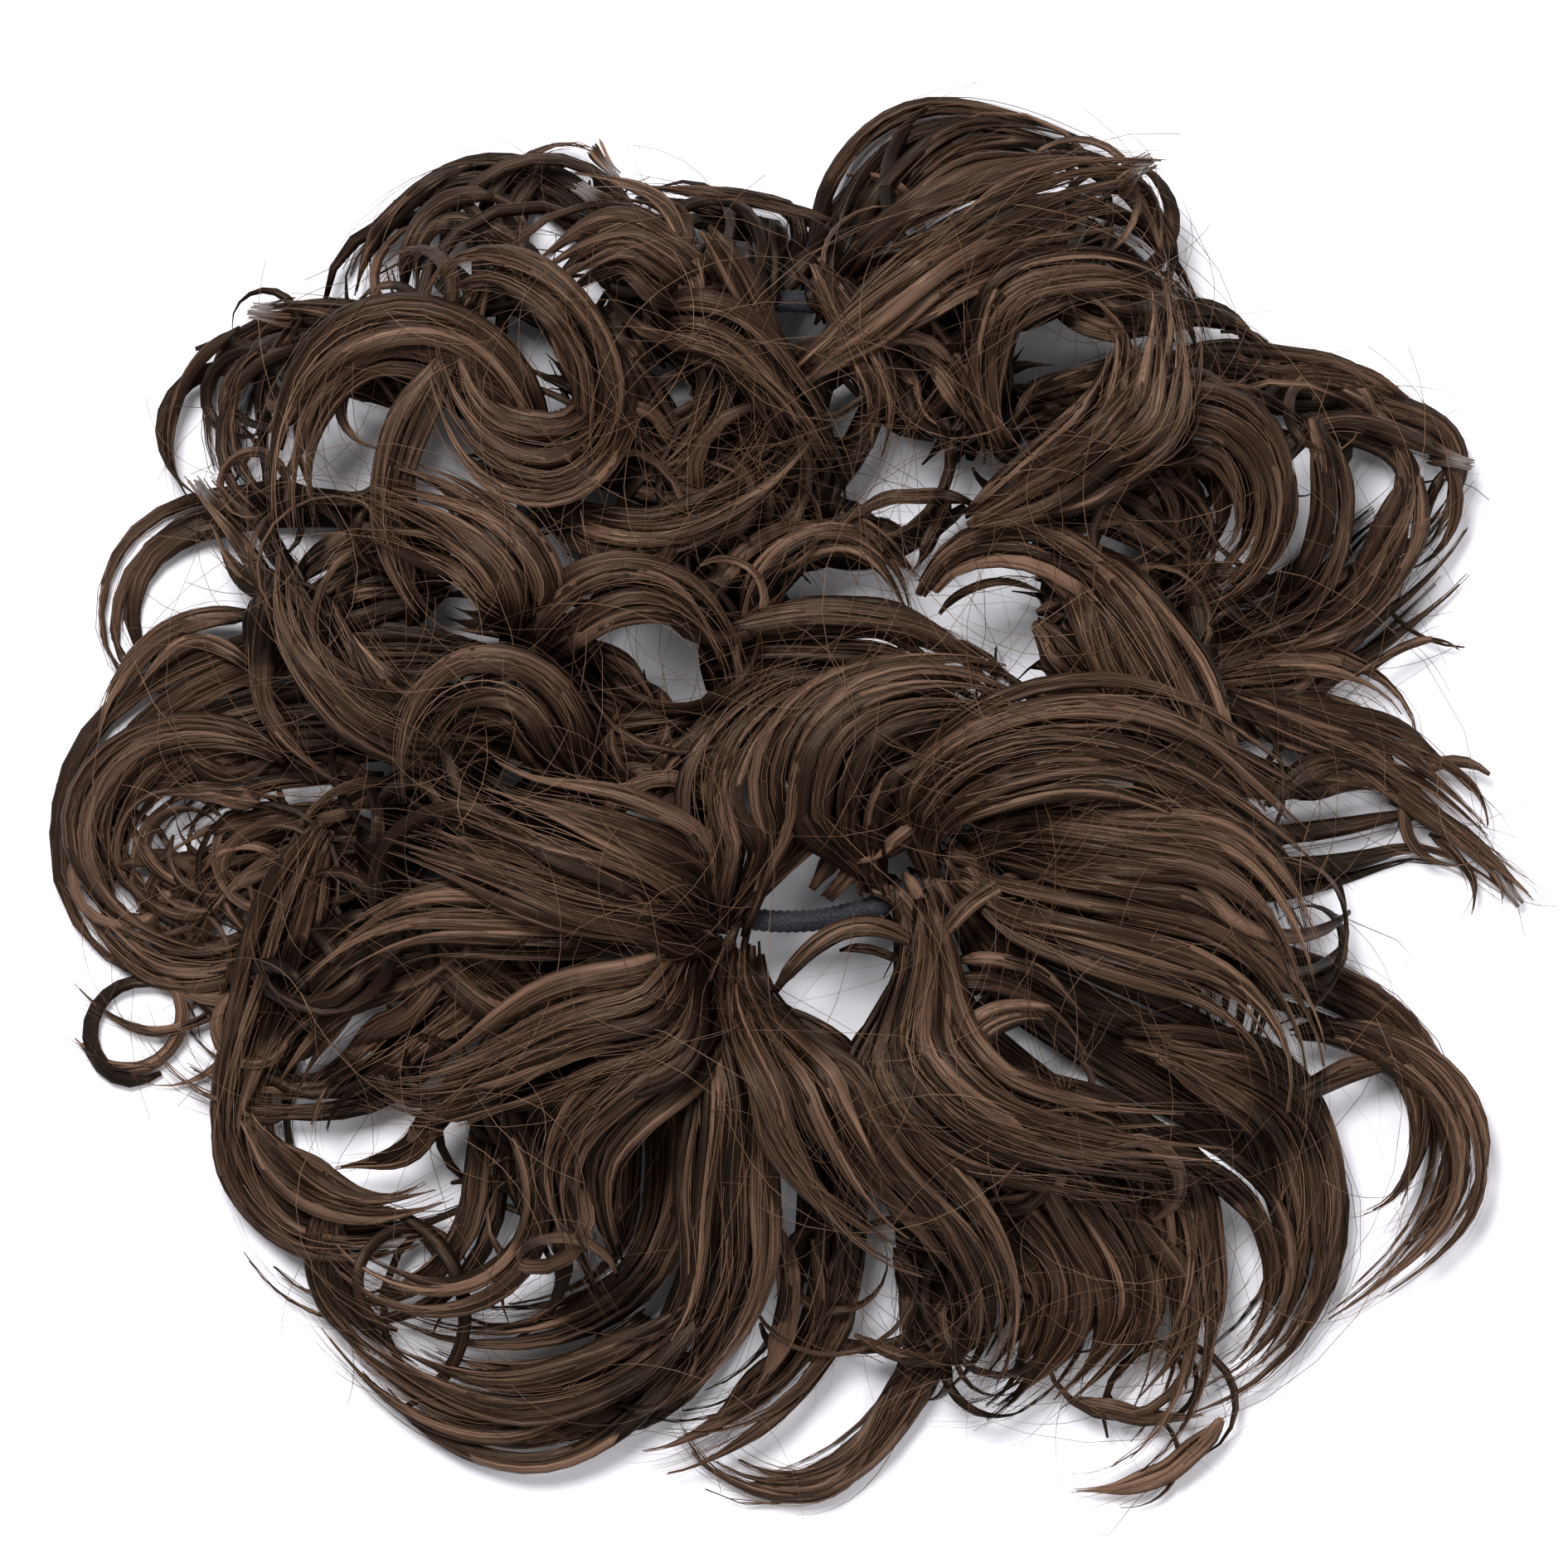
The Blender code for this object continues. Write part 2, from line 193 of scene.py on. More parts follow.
UPPER_LOCKS = (
    (155, 85, -45, 56, 180, -60, 31, 280, 95, 35, 12),
    (127, 275, -29, 38, 180, -43, 55, 95, 85, 62, 45),
    (187, 65, -34, 29, 132, -51, 37, 165, 96, 75, 30),
    (105, 110, -17, 66, 150, -31, 61, 205, 80, 45, 30),
    (80, 55, 22, 70, 32, 43, 75, 0, 135, 40, 25),
    (118, 40, -9, 56, 345, 4, 42, 300, 85, 62, 35),
    (160, 335, -14, 32, 12, 2, 43, 50, 85, 30, 25),
    (25, 25, 44, 47, 75, 44, 60, 100, 115, 80, 62),
    (42, 120, 30, 62, 10, 48, 57, 300, 75, 50, 28),
    (30, 25, 56, 42, 300, 50, 24, 200, 95, 38, 12),
    (12, 320, 42, 20, 300, 58, -2, 318, 130, 50, 20),
    (293, 95, 33, 7, 0, 64, -8, 318, 116, 80, 22),
    (308, 30, 46, -6, 0, 61, -21, 285, 90, 55, 25),
    (300, 340, 48, -18, 345, 61, -36, 262, 85, 32, 12),
    (288, 275, 27, -39, 345, 51, -43, 355, 114, 62, 30),
    (278, 285, 17, -43, 315, 23, -70, 240, 109, 42, 8),
    (272, 265, 1, -40, 300, 16, -54, 345, 111, 82, 50),
    (267, 262, -5, -51, 272, -15, -71, 220, 107, 25, 5),
    (269, 250, -25, -38, 228, -23, -59, 300, 105, 48, 20),
    (260, 240, -20, -27, 188, -47, -35, 172, 102, 66, 25),
    (250, 200, -41, -14, 180, -57, -22, 225, 85, 45, 14),
    (268, 180, -27, -12, 160, -47, -5, 165, 120, 70, 42),
    (263, 150, -25, -4, 157, -41, 2, 150, 117, 85, 58),
    (222, 85, -35, 15, 180, -45, 2, 275, 100, 92, 66),
    (205, 180, -53, 13, 130, -59, 28, 85, 120, 48, 30),
    (193, 60, -18, 25, 0, -7, 14, 275, 108, 70, 35),
    (265, 110, -9, 1, 88, 3, 15, 15, 113, 45, 40),
    (275, 80, 8, 9, 38, 31, 9, 335, 119, 62, 55),
)

CURLS = (
    # start x, y and way, crest x, y and way, tip x, y and way, width, heights of the three
    # Upper left
    (-65, 57, 210, -74, 45, 262, -70, 34, 320, 18, 20, 10, 10),
    (-55, 56, 185, -67, 47, 268, -62, 36, 330, 30, 25, 15, 15),
    (-58, 58, 230, -63, 46, 270, -61, 35, 285, 25, 30, 20, 15),
    (-44, 56, 185, -53, 47, 262, -47, 42, 10, 25, 50, 45, 40),
    (-39, 53, 275, -35, 45, 305, -26, 43, 0, 40, 55, 55, 50),
    (-40, 53, 235, -47, 36, 265, -43, 22, 310, 50, 65, 60, 50),
    (-38, 76, 195, -48, 69, 230, -52, 59, 265, 32, 25, 18, 10),
    (-35, 72, 160, -43, 70, 225, -46, 58, 275, 25, 35, 30, 25),
    (-35, 66, 120, -40, 69, 185, -44, 58, 280, 22, 40, 35, 30),
    (-37, 69, 335, -31, 65, 320, -26, 59, 305, 25, 40, 45, 50),
    (-24, 39, 70, -26, 58, 128, -42, 58, 262, 60, 60, 75, 60),
    (-39, 58, 50, -36, 62, 30, -32, 63, 5, 20, 55, 58, 55),
    (-40, 55, 165, -52, 58, 165, -64, 59, 185, 40, 45, 40, 35),
    (-45, 40, 200, -51, 36, 190, -58, 36, 180, 22, 40, 35, 30),
    (-43, 46, 120, -48, 49, 175, -56, 48, 200, 35, 40, 35, 30),
    (-55, 20, 150, -63, 29, 125, -71, 39, 135, 55, 40, 30, 22),
    # Top
    (-11, 57, 95, -14, 67, 120, -25, 73, 170, 50, 65, 60, 50),
    (-15, 60, 135, -19, 65, 120, -22, 71, 100, 25, 60, 55, 50),
    (5, 69, 165, -7, 72, 172, -19, 73, 180, 20, 50, 50, 45),
    (-10, 68, 310, -3, 56, 290, 6, 40, 300, 45, 70, 65, 45),
    (-27, 31, 335, -21, 30, 0, -16, 31, 30, 25, 50, 50, 50),
    (8, 62, 80, 17, 77, 40, 36, 78, 345, 50, 30, 25, 15),
    (1, 50, 40, 17, 62, 35, 41, 74, 38, 80, 65, 75, 40),
    (3, 64, 300, 10, 50, 292, 10, 40, 255, 50, 70, 65, 50),
    (26, 41, 125, 25, 59, 65, 48, 58, 320, 45, 60, 70, 45),
    (22, 35, 150, 13, 36, 180, 6, 32, 220, 22, 45, 50, 45),
    (7, 34, 330, 12, 30, 310, 16, 26, 305, 22, 45, 45, 40),
    (19, 36, 260, 17, 31, 250, 15, 27, 248, 24, 45, 40, 40),
    # Upper right
    (33, 77, 350, 43, 70, 300, 45, 61, 270, 30, 40, 30, 30),
    (41, 74, 320, 46, 67, 285, 47, 61, 275, 12, 35, 30, 25),
    (40, 63, 0, 46, 61, 330, 49, 58, 300, 12, 40, 35, 30),
    (42, 63, 330, 48, 56, 295, 49, 51, 265, 14, 35, 30, 25),
    (40, 55, 30, 49, 58, 0, 58, 53, 300, 30, 35, 30, 25),
    (48, 50, 10, 62, 49, 355, 74, 49, 350, 45, 20, 15, 10),
    (59, 38, 95, 65, 45, 5, 82, 40, 350, 40, 40, 35, 20),
    (79, 40, 235, 75, 29, 250, 73, 23, 255, 16, 15, 15, 10),
    (43, 51, 340, 58, 36, 280, 49, 24, 195, 55, 55, 45, 35),
    (62, 46, 300, 65, 32, 262, 50, 20, 185, 50, 45, 35, 25),
    (74, 39, 280, 70, 26, 240, 54, 19, 182, 80, 35, 25, 15),
    (21, 33, 25, 38, 43, 45, 44, 60, 100, 85, 70, 85, 70),
    # Right
    (31, 30, 315, 39, 15, 290, 42, 6, 285, 75, 45, 45, 35),
    (16, 24, 70, 30, 30, 340, 57, -2, 320, 60, 55, 65, 40),
    (68, 15, 30, 77, 19, 0, 81, 17, 290, 14, 18, 15, 12),
    (52, 13, 335, 68, 7, 342, 84, -4, 315, 60, 25, 20, 10),
    (73, 7, 340, 82, 2, 315, 84, -5, 255, 15, 15, 10, 8),
    (57, -1, 55, 67, 5, 5, 76, 3, 335, 30, 25, 20, 15),
    (77, -4, 330, 82, -9, 300, 82, -15, 255, 18, 8, 6, 5),
    (29, -13, 80, 45, 0, 0, 61, -23, 262, 50, 55, 55, 30),
    (65, -7, 300, 67, -16, 268, 64, -23, 235, 8, 12, 12, 10),
    # Lower right
    (58, -38, 30, 66, -33, 22, 76, -31, 10, 25, 25, 20, 15),
    (62, -27, 5, 76, -37, 280, 67, -50, 182, 40, 20, 15, 10),
    (42, -39, 340, 58, -51, 290, 54, -68, 222, 50, 35, 25, 15),
    (34, -72, 345, 42, -74, 350, 51, -74, 5, 30, 12, 10, 8),
    (52, -74, 255, 47, -80, 220, 34, -83, 182, 28, 12, 8, 4),
    # Lower middle
    (8, -64, 330, 17, -67, 0, 25, -63, 45, 20, 25, 20, 20),
    (-1, -51, 280, 0, -60, 265, -5, -72, 235, 35, 40, 30, 20),
    (3, -52, 285, 4, -60, 262, 0, -69, 235, 28, 38, 30, 20),
    (13, -53, 290, 14, -60, 265, 13, -66, 255, 40, 40, 30, 25),
    (31, -25, 165, 20, -32, 268, 34, -41, 358, 55, 60, 60, 50),
    (8, -30, 60, 21, -22, 5, 36, -32, 285, 28, 50, 50, 45),
    (-10, -60, 225, -29, -71, 190, -52, -63, 138, 70, 25, 20, 12),
    # Middle
    (-8, 20, 15, 8, 22, 355, 29, 11, 308, 35, 60, 60, 50),
    (1, -8, 15, 14, -1, 40, 29, 5, 15, 50, 50, 60, 60),
    (-2, -13, 50, 9, 3, 50, 28, 8, 350, 85, 45, 55, 50),
    (-5, 20, 95, 5, 32, 5, 15, 22, 275, 28, 45, 45, 40),
    (-10, 20, 90, -4, 31, 45, 7, 34, 5, 38, 45, 42, 40),
    (18, 22, 60, 25, 26, 10, 32, 24, 325, 18, 45, 50, 50),
    (29, 21, 335, 34, 16, 318, 39, 8, 295, 50, 50, 50, 40),
    (-16, 0, 45, -8, 8, 45, -2, 14, 45, 60, 50, 50, 45),
    # Left
    (-64, 16, 160, -71, 19, 185, -78, 13, 235, 25, 20, 15, 10),
    (-64, 22, 178, -76, 19, 215, -83, 6, 268, 35, 15, 10, 6),
    (-75, 11, 272, -68, 3, 345, -59, 9, 55, 30, 15, 15, 18),
    (-60, 5, 150, -82, 3, 232, -68, -17, 358, 75, 25, 12, 10),
    (-63, 0, 170, -70, 1, 180, -77, 0, 190, 26, 30, 25, 20),
    (-61, -18, 210, -73, -22, 178, -87, -10, 128, 26, 10, 6, 4),
    (-65, -23, 218, -76, -28, 180, -87, -21, 125, 20, 8, 5, 3),
    (-76, -32, 180, -81, -32, 172, -87, -28, 140, 12, 5, 4, 3),
    (-79, -3, 290, -73, -10, 340, -66, -9, 12, 16, 12, 10, 12),
    (-80, -9, 310, -73, -14, 350, -66, -12, 20, 14, 10, 10, 10),
    (-61, 28, 245, -63, 14, 275, -55, 3, 320, 40, 40, 35, 35),
    (-12, -14, 160, -29, -8, 160, -44, -2, 160, 70, 60, 75, 60),
    (-26, -26, 170, -38, -20, 140, -52, -8, 135, 70, 45, 42, 40),
    # Lower left
    (-55, -3, 235, -64, -25, 250, -66, -46, 285, 85, 35, 18, 10),
    (-25, -21, 225, -37, -35, 215, -49, -34, 140, 55, 55, 50, 40),
    (-68, -36, 272, -62, -51, 322, -40, -51, 15, 55, 15, 12, 15),
    (-65, -38, 300, -55, -48, 340, -39, -46, 28, 50, 20, 18, 22),
    (-35, -36, 320, -30, -50, 260, -55, -54, 130, 45, 45, 40, 25),
    (-55, -46, 262, -56, -57, 280, -45, -68, 325, 45, 15, 12, 8),
    # Hair under and between the rest, which lies deep and so gets more of the painted shade
    (-20, 56, 250, -16, 44, 290, -5, 38, 350, 60, 45, 45, 40),
    (-12, 62, 280, -8, 50, 265, -16, 38, 220, 60, 55, 55, 45),
    (-5, 60, 270, -2, 48, 255, -10, 36, 215, 50, 55, 50, 40),
    (-24, 52, 310, -14, 42, 320, -2, 36, 340, 60, 40, 40, 40),
    (-16, 58, 300, -6, 46, 300, 4, 38, 330, 50, 40, 38, 35),
    (-28, 46, 330, -18, 38, 340, -8, 40, 60, 50, 42, 45, 45),
    (-10, 16, 30, 8, 19, 0, 27, 8, 315, 70, 45, 50, 50),
    (-8, 12, 40, 8, 16, 5, 24, 6, 320, 80, 40, 45, 45),
    (-6, 24, 60, 4, 30, 15, 14, 22, 290, 30, 40, 40, 40),
    (-14, 22, 45, -2, 29, 20, 10, 30, 340, 40, 35, 38, 35),
    (-16, 28, 20, -6, 32, 0, 4, 26, 300, 50, 35, 35, 30),
    (-38, 33, 190, -50, 30, 200, -62, 20, 240, 80, 30, 28, 25),
    (-40, 26, 180, -52, 24, 200, -62, 14, 250, 80, 28, 25, 20),
    (-48, 2, 190, -60, 0, 185, -74, -6, 215, 70, 30, 22, 12),
    (-48, -4, 180, -60, -5, 190, -72, -14, 240, 70, 25, 18, 10),
    (-38, -16, 215, -52, -22, 215, -62, -34, 250, 90, 45, 35, 20),
    (-34, -20, 225, -46, -28, 225, -56, -40, 270, 70, 40, 30, 20),
    (-45, -14, 200, -58, -20, 220, -66, -32, 260, 60, 30, 20, 12),
    (-24, -26, 250, -30, -42, 265, -26, -58, 290, 80, 30, 25, 20),
    (-18, -30, 255, -24, -46, 270, -20, -62, 290, 70, 30, 25, 15),
    (22, -44, 290, 32, -58, 280, 24, -74, 215, 100, 30, 25, 12),
    (30, -42, 300, 40, -58, 275, 32, -72, 220, 90, 35, 25, 12),
    (14, -46, 285, 22, -60, 280, 14, -72, 220, 80, 30, 22, 12),
    (36, -46, 310, 46, -60, 275, 40, -72, 230, 70, 30, 20, 10),
    (60, -28, 10, 82, -40, 280, 73, -57, 225, 45, 20, 15, 10),
    (64, -28, 355, 82, -44, 272, 67, -62, 212, 50, 20, 15, 8),
    (12, 60, 290, 20, 50, 300, 24, 40, 260, 60, 50, 50, 45),
    (8, 56, 280, 14, 48, 290, 18, 43, 200, 50, 45, 45, 40),
    (22, 58, 270, 24, 48, 265, 18, 41, 215, 60, 45, 42, 40),
    (16, 60, 250, 12, 52, 270, 20, 44, 330, 50, 40, 40, 35),
    (34, 42, 340, 46, 36, 290, 44, 26, 240, 80, 35, 30, 25),
    (38, 44, 330, 50, 36, 280, 46, 28, 220, 70, 30, 25, 20),
    (30, 36, 10, 42, 34, 330, 50, 26, 290, 60, 40, 35, 30),
    (-24, 8, 350, -14, 8, 10, -6, 14, 60, 70, 35, 38, 40),
    (-22, 2, 0, -12, 2, 10, -4, 8, 60, 70, 35, 38, 40),
    (-26, 12, 340, -16, 6, 330, -8, -2, 300, 60, 30, 30, 30),
    (-30, 18, 350, -22, 16, 330, -16, 10, 310, 60, 35, 33, 30),
    (44, 52, 20, 62, 52, 355, 78, 43, 310, 45, 25, 20, 12),
    (50, 48, 20, 68, 51, 345, 79, 42, 290, 40, 20, 16, 10),
    (-36, -30, 235, -44, -40, 230, -54, -44, 190, 40, 30, 25, 15),
    (30, -34, 340, 46, -46, 285, 44, -66, 240, 90, 35, 25, 15),
    (34, -36, 330, 49, -50, 275, 46, -70, 225, 70, 30, 20, 12),
    (44, -30, 345, 62, -42, 285, 56, -68, 225, 80, 30, 22, 12),
    (40, -28, 345, 60, -38, 290, 60, -62, 235, 70, 30, 20, 12),
    (20, -62, 235, 4, -82, 195, -12, -76, 120, 45, 12, 8, 6),
    (16, -66, 230, 2, -84, 185, -13, -77, 125, 35, 10, 6, 4),
    (-12, -66, 215, -32, -78, 178, -54, -65, 130, 60, 15, 10, 6),
    (-16, -62, 215, -36, -75, 175, -56, -62, 125, 60, 18, 12, 8),
    (-58, -14, 200, -70, -19, 185, -82, -14, 140, 50, 15, 10, 8),
    (50, 6, 340, 62, 2, 350, 74, 0, 330, 40, 22, 18, 15),
    (70, 3, 335, 80, -4, 325, 90, -12, 315, 40, 15, 10, 6),
    (72, 0, 340, 82, -6, 320, 86, -13, 260, 20, 12, 8, 5),
    (30, 62, 330, 40, 58, 0, 48, 60, 30, 50, 50, 50, 45),
    (8, -58, 250, -4, -74, 215, -18, -80, 180, 60, 20, 12, 8),
    (66, 50, 330, 80, 42, 285, 76, 30, 250, 35, 18, 14, 10),
    (60, 46, 340, 74, 40, 300, 72, 28, 255, 40, 22, 16, 12),
)

# The small curls that cross the opening below the middle
OPENING_CURLS = (
    (-2, -23, 55, 9, -15, 5, 20, -22, 305, 28, 50, 50, 45),
    (6, -18, 20, 11, -18, 345, 18, -22, 315, 16, 45, 45, 40),
    (-4, -25, 345, 5, -28, 330, 11, -37, 285, 28, 50, 50, 45),
    (14, -23, 230, 8, -30, 250, 6, -37, 268, 24, 45, 45, 40),
    (20, -19, 5, 28, -20, 340, 36, -26, 320, 24, 50, 50, 45),
    (30, -8, 205, 20, -14, 230, 16, -22, 248, 22, 50, 48, 45),
)

# The stretches of the band, in degrees, where the elastic is seen
BARE_BAND = ((84.0, 94.0), (257.0, 270.0))

# Where the floor shows between the locks: left, right, bottom and top
FLOOR_GAPS = (
    (7, 16, 32, 43), (20, 31, 26, 35), (1, 23, 20, 29), (-3, 13, -28, -4),
    (-54, -48, 36, 48), (-60, -42, -48, -37), (62, 77, -48, -28), (50, 58, -69, -48),
    (45, 55, 51, 56), (59, 71, -6, 1), (-75, -61, 3, 14), (-5, 15, -82, -67),
    (-80, -65, 15, 31),
)

band_low, band_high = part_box("elastic_band")
SHIFT = np.array([(band_low.x + band_high.x) / 2, (band_low.y + band_high.y) / 2 - BAND_AHEAD, 0.0])
MIDDLE = SHIFT[:2] + np.array([0.0, BAND_AHEAD / 2])
TIP_PAST = 0.12  # of a lock's second bow, that the finest wisps run on past it
BOW_STEPS = 32
PATH_POINTS = 64
PATH_SHARES = np.linspace(0.0, 1.0, PATH_POINTS)


def evenly(rings):
    return np.linspace(0.0, 1.0, rings)[None]


def smoothstep(share):
    share = np.clip(share, 0.0, 1.0)
    return share * share * (3.0 - 2.0 * share)


def heading(degrees):
    return np.array([math.cos(math.radians(degrees)), math.sin(math.radians(degrees))])


def band_point(degrees, outward=0.0):
    way = heading(degrees)
    return np.array(
        [way[0] * (BAND_HALF_WIDTH + outward), BAND_AHEAD + way[1] * (BAND_HALF_LENGTH + outward)]
    )


def bow(start, start_way, end, end_way, past=0.0):
    """Plan points of one smooth bend, going on past its end by that share if asked."""
    turn = math.radians((end_way - start_way + 180.0) % 360.0 - 180.0)
    reach = np.linalg.norm(end - start) / (3.0 * math.cos(turn / 4.0) ** 2)
    share = np.linspace(0.0, 1.0 + past, BOW_STEPS + 1)[:, None]
    knots = start, start + heading(start_way) * reach, end - heading(end_way) * reach, end
    return (
        knots[0] * (1 - share) ** 3
        + knots[1] * 3 * share * (1 - share) ** 2
        + knots[2] * 3 * share**2 * (1 - share)
        + knots[3] * share**3
    )


def even(points):
    """The same route with PATH_POINTS points, evenly spaced."""
    steps = np.linalg.norm(np.diff(points, axis=0), axis=1)
    run = np.concatenate([[0.0], np.cumsum(steps)])
    places = np.linspace(0.0, run[-1], PATH_POINTS)
    return np.stack([np.interp(places, run, points[:, k]) for k in range(points.shape[1])], axis=1)


def two_bows(start, start_way, row):
    """The plan of a lock, past its tip, and the share of its length that each point is at."""
    crest = np.array([row.crest_x, row.crest_y]) * PLAN_UNIT
    tip = np.array([row.tip_x, row.tip_y]) * PLAN_UNIT
    inner = bow(start, start_way, crest, row.crest_way)
    outer = bow(crest, row.crest_way, tip, row.tip_way, TIP_PAST)
    shares = np.concatenate([np.linspace(0, 0.5, len(inner)), np.linspace(0.5, 1.06, len(outer))[1:]])
    return np.concatenate([inner, outer[1:]]), shares


def path_of(plan, height, width, shift=0.0):
    points = even(np.column_stack([plan, height])) + shift
    return Path(points, width, float(height.mean() / PILE_HEIGHT))


def lock_path(lock, layer):
    plan, share = two_bows(band_point(lock.root), lock.leaves, lock)
    thickness = LOCK_THICKNESS * lock.width / 100.0
    lift = lock.crest_lift + (lock.tip_lift - lock.crest_lift) * smoothstep(2.0 * share - 1.0)
    laid = layer.floor + thickness / 2 + (layer.top - layer.floor - thickness) * lift / 100.0
    height = layer.weft + (laid - layer.weft) * smoothstep(share / LAID_FROM)
    return path_of(plan, height, LOCK_WIDTH * lock.width / 100.0, SHIFT)


def curl_path(curl):
    start = np.array([curl.start_x, curl.start_y]) * PLAN_REACH / 100.0
    plan, share = two_bows(start, curl.start_way, curl)
    high = np.interp(share, [0.0, 0.5, 1.0], [curl.start_high, curl.crest_high, curl.tip_high])
    height = PILE_HEIGHT * high / 100.0
    return path_of(plan, height, LOCK_WIDTH * curl.width / 100.0, SHIFT)


def waves(rng, count, shares, cycles):
    """Smooth random waves of about unit size, one row for each of count."""
    total = np.zeros((count, shares.shape[-1]))
    for octave in range(3):
        phase = rng.uniform(0.0, 2.0 * math.pi, (count, 1))
        rate = cycles * (1.0 + octave) * rng.uniform(0.7, 1.3, (count, 1))
        total += np.sin(2.0 * math.pi * rate * shares + phase) / (1.0 + octave)
    return total / 1.5


def frames(centres):
    """Sideways and upward unit vectors along each route of an array (count, rings, 3)."""
    along = np.gradient(centres, axis=1)
    along /= np.linalg.norm(along, axis=2, keepdims=True) + 1e-12
    side = np.stack([-along[..., 1], along[..., 0], np.zeros(along.shape[:2])], axis=2)
    side /= np.linalg.norm(side, axis=2, keepdims=True) + 1e-12
    return side, np.cross(along, side)


# Many closed hairs of one kind: centres, half sizes, roll, and what colours them: their own tone with
# painted shade added, and a painted highlight
Tubes = namedtuple("Tubes", "centres half_width half_thickness roll tone grey")


SISTER_FROM = 0.005  # the narrowest lock that has sisters
SISTER_SHIFTS = (-0.55, 0.6)  # of the lock's width
SISTER_WIDTHS = (0.55, 0.9)
SISTER_WANDER = 0.0016
SISTER_DROP = (0.001, 0.005)
SHORTENED = (0.86, 1.0)  # of the whole, how long a sister or a cord is


def shortened(rng, points):
    """The route without a random last part of it."""
    return even(points[: int(PATH_POINTS * rng.uniform(*SHORTENED))])


def sister(rng, path, shift):
    """A lock beside this one, a little lower, that keeps to its curl."""
    side, _ = frames(path.points[None])
    grown = smoothstep(PATH_SHARES * 2.5)[:, None]
    wander = waves(rng, 1, PATH_SHARES, 0.8)[0][:, None] * SISTER_WANDER
    points = path.points + side[0] * grown * (shift * path.width + wander)
    points[:, 2] -= rng.uniform(*SISTER_DROP) * grown[:, 0]
    points = shortened(rng, points)
    return Path(points, path.width * rng.uniform(*SISTER_WIDTHS), path.level)


def from_middle(points):
    return np.linalg.norm(points[:, :2] - MIDDLE, axis=1)


def sisters_of(rng, paths):
    """The sisters of the wider locks, without those that would stand out past their own lock."""
    found = []
    for path in paths:
        if path.width < SISTER_FROM:
            continue
        reach = from_middle(path.points).max()
        for shift in SISTER_SHIFTS:
            other = sister(rng, path, shift)
            if from_middle(other.points).max() < reach:
                found.append(other)
    return found


def width_along(shares, tip):
    """A lock's share of its full width: half at its root, and this much at its tip."""
    body = 0.5 + 0.5 * smoothstep(shares / 0.25)
    return body * (1 - (1 - tip) * smoothstep((shares - 0.5) / 0.5))


def route(path, shares):
    """The path's points at each of these shares, an array (count, rings)."""
    return np.stack([np.interp(shares, PATH_SHARES, path.points[:, k]) for k in range(3)], axis=-1)


# How the cords of a lock lie, as shares of half its width unless they are said to be others
CORD_SPREAD = 0.75
CORD_SWAY = 0.24
CORD_PARTING = 0.45  # how far a cord leaves the lock towards its tip
CORD_CROWN = 0.22  # of the lock's width, how much higher its middle is
CORD_RISE = 0.0009  # metres
CORD_WIDTHS = (0.95, 1.6)  # of an even share of the lock's width


def cords_of(rng, path):
    """The narrower locks that a lock splits into, each with a way of its own."""
    count = max(1, round(path.width / CORD_WIDTH))
    side, up = frames(path.points[None])
    half = path.width / 2 * width_along(PATH_SHARES, 0.5)
    cords = []
    for place in np.linspace(-CORD_SPREAD, CORD_SPREAD, count) if count > 1 else (0.0,):
        own = place + rng.uniform(-0.15, 0.15)
        own = own + CORD_SWAY * waves(rng, 1, PATH_SHARES, 0.8)[0]
        own = own + CORD_PARTING * rng.normal() * smoothstep((PATH_SHARES - 0.4) / 0.6)
        lift = CORD_CROWN * path.width * (1 - place**2) * smoothstep(PATH_SHARES / 0.3)
        lift = lift + CORD_RISE * waves(rng, 1, PATH_SHARES, 1.1)[0]
        points = path.points + side[0] * (own * half)[:, None] + up[0] * lift[:, None]
        points = shortened(rng, points)
        width = path.width / count * rng.uniform(*CORD_WIDTHS)
        cords.append(Path(points, width, path.level))
    return cords


FULL_TO = 0.6  # of a hair's length, from where it narrows to its tip


def taper(inner, root=0.4, tip=0.1):
    """A hair's size along its own length: full from near its root to FULL_TO, then down to its tip."""
    body = root + (1 - root) * smoothstep(inner / 0.12)
    return body * (1 - (1 - tip) * smoothstep((inner - FULL_TO) / (1 - FULL_TO)))


LEAST_HALF_WIDTH, LEAST_HALF_THICKNESS = 0.0001, 0.00009
FLATNESS = (0.26, 0.40)  # a ribbon's thickness, of its width
RIBBON_RISE = 0.0004


def ribbons_of(rng, path, rings=RIBBON_RINGS, across=0.0, share_of_width=1.0, raised=0.0):
    """One flattened ribbon along a cord."""
    begin, end = rng.uniform(0.0, 0.03), rng.uniform(0.95, 1.0)
    inner = evenly(rings)
    shares = begin + (end - begin) * inner
    centres = route(path, shares)
    side, up = frames(centres)
    narrowed = width_along(shares, 0.2)
    sway = across + 0.14 * waves(rng, 1, shares, 0.9)
    lift = raised * path.width * narrowed + RIBBON_RISE * waves(rng, 1, shares, 1.3)
    centres = centres + side * (sway * path.width / 2 * narrowed)[..., None]
    centres = centres + up * lift[..., None]
    half_width = 0.5 * path.width * share_of_width * taper(inner) * (0.5 + 0.5 * narrowed)
    half_width = half_width * (1 + 0.12 * waves(rng, 1, shares, 1.2))
    half_width = np.maximum(half_width, LEAST_HALF_WIDTH)
    thick = np.maximum(half_width * rng.uniform(*FLATNESS), LEAST_HALF_THICKNESS)
    roll = -across * 0.5 + 0.45 * waves(rng, 1, shares, 0.8)
    tone = rng.normal(0.0, 0.7) + 0.25 * waves(rng, 1, shares, 1.0)
    return Tubes(centres, half_width, thick, roll, tone, 0.0 * tone)


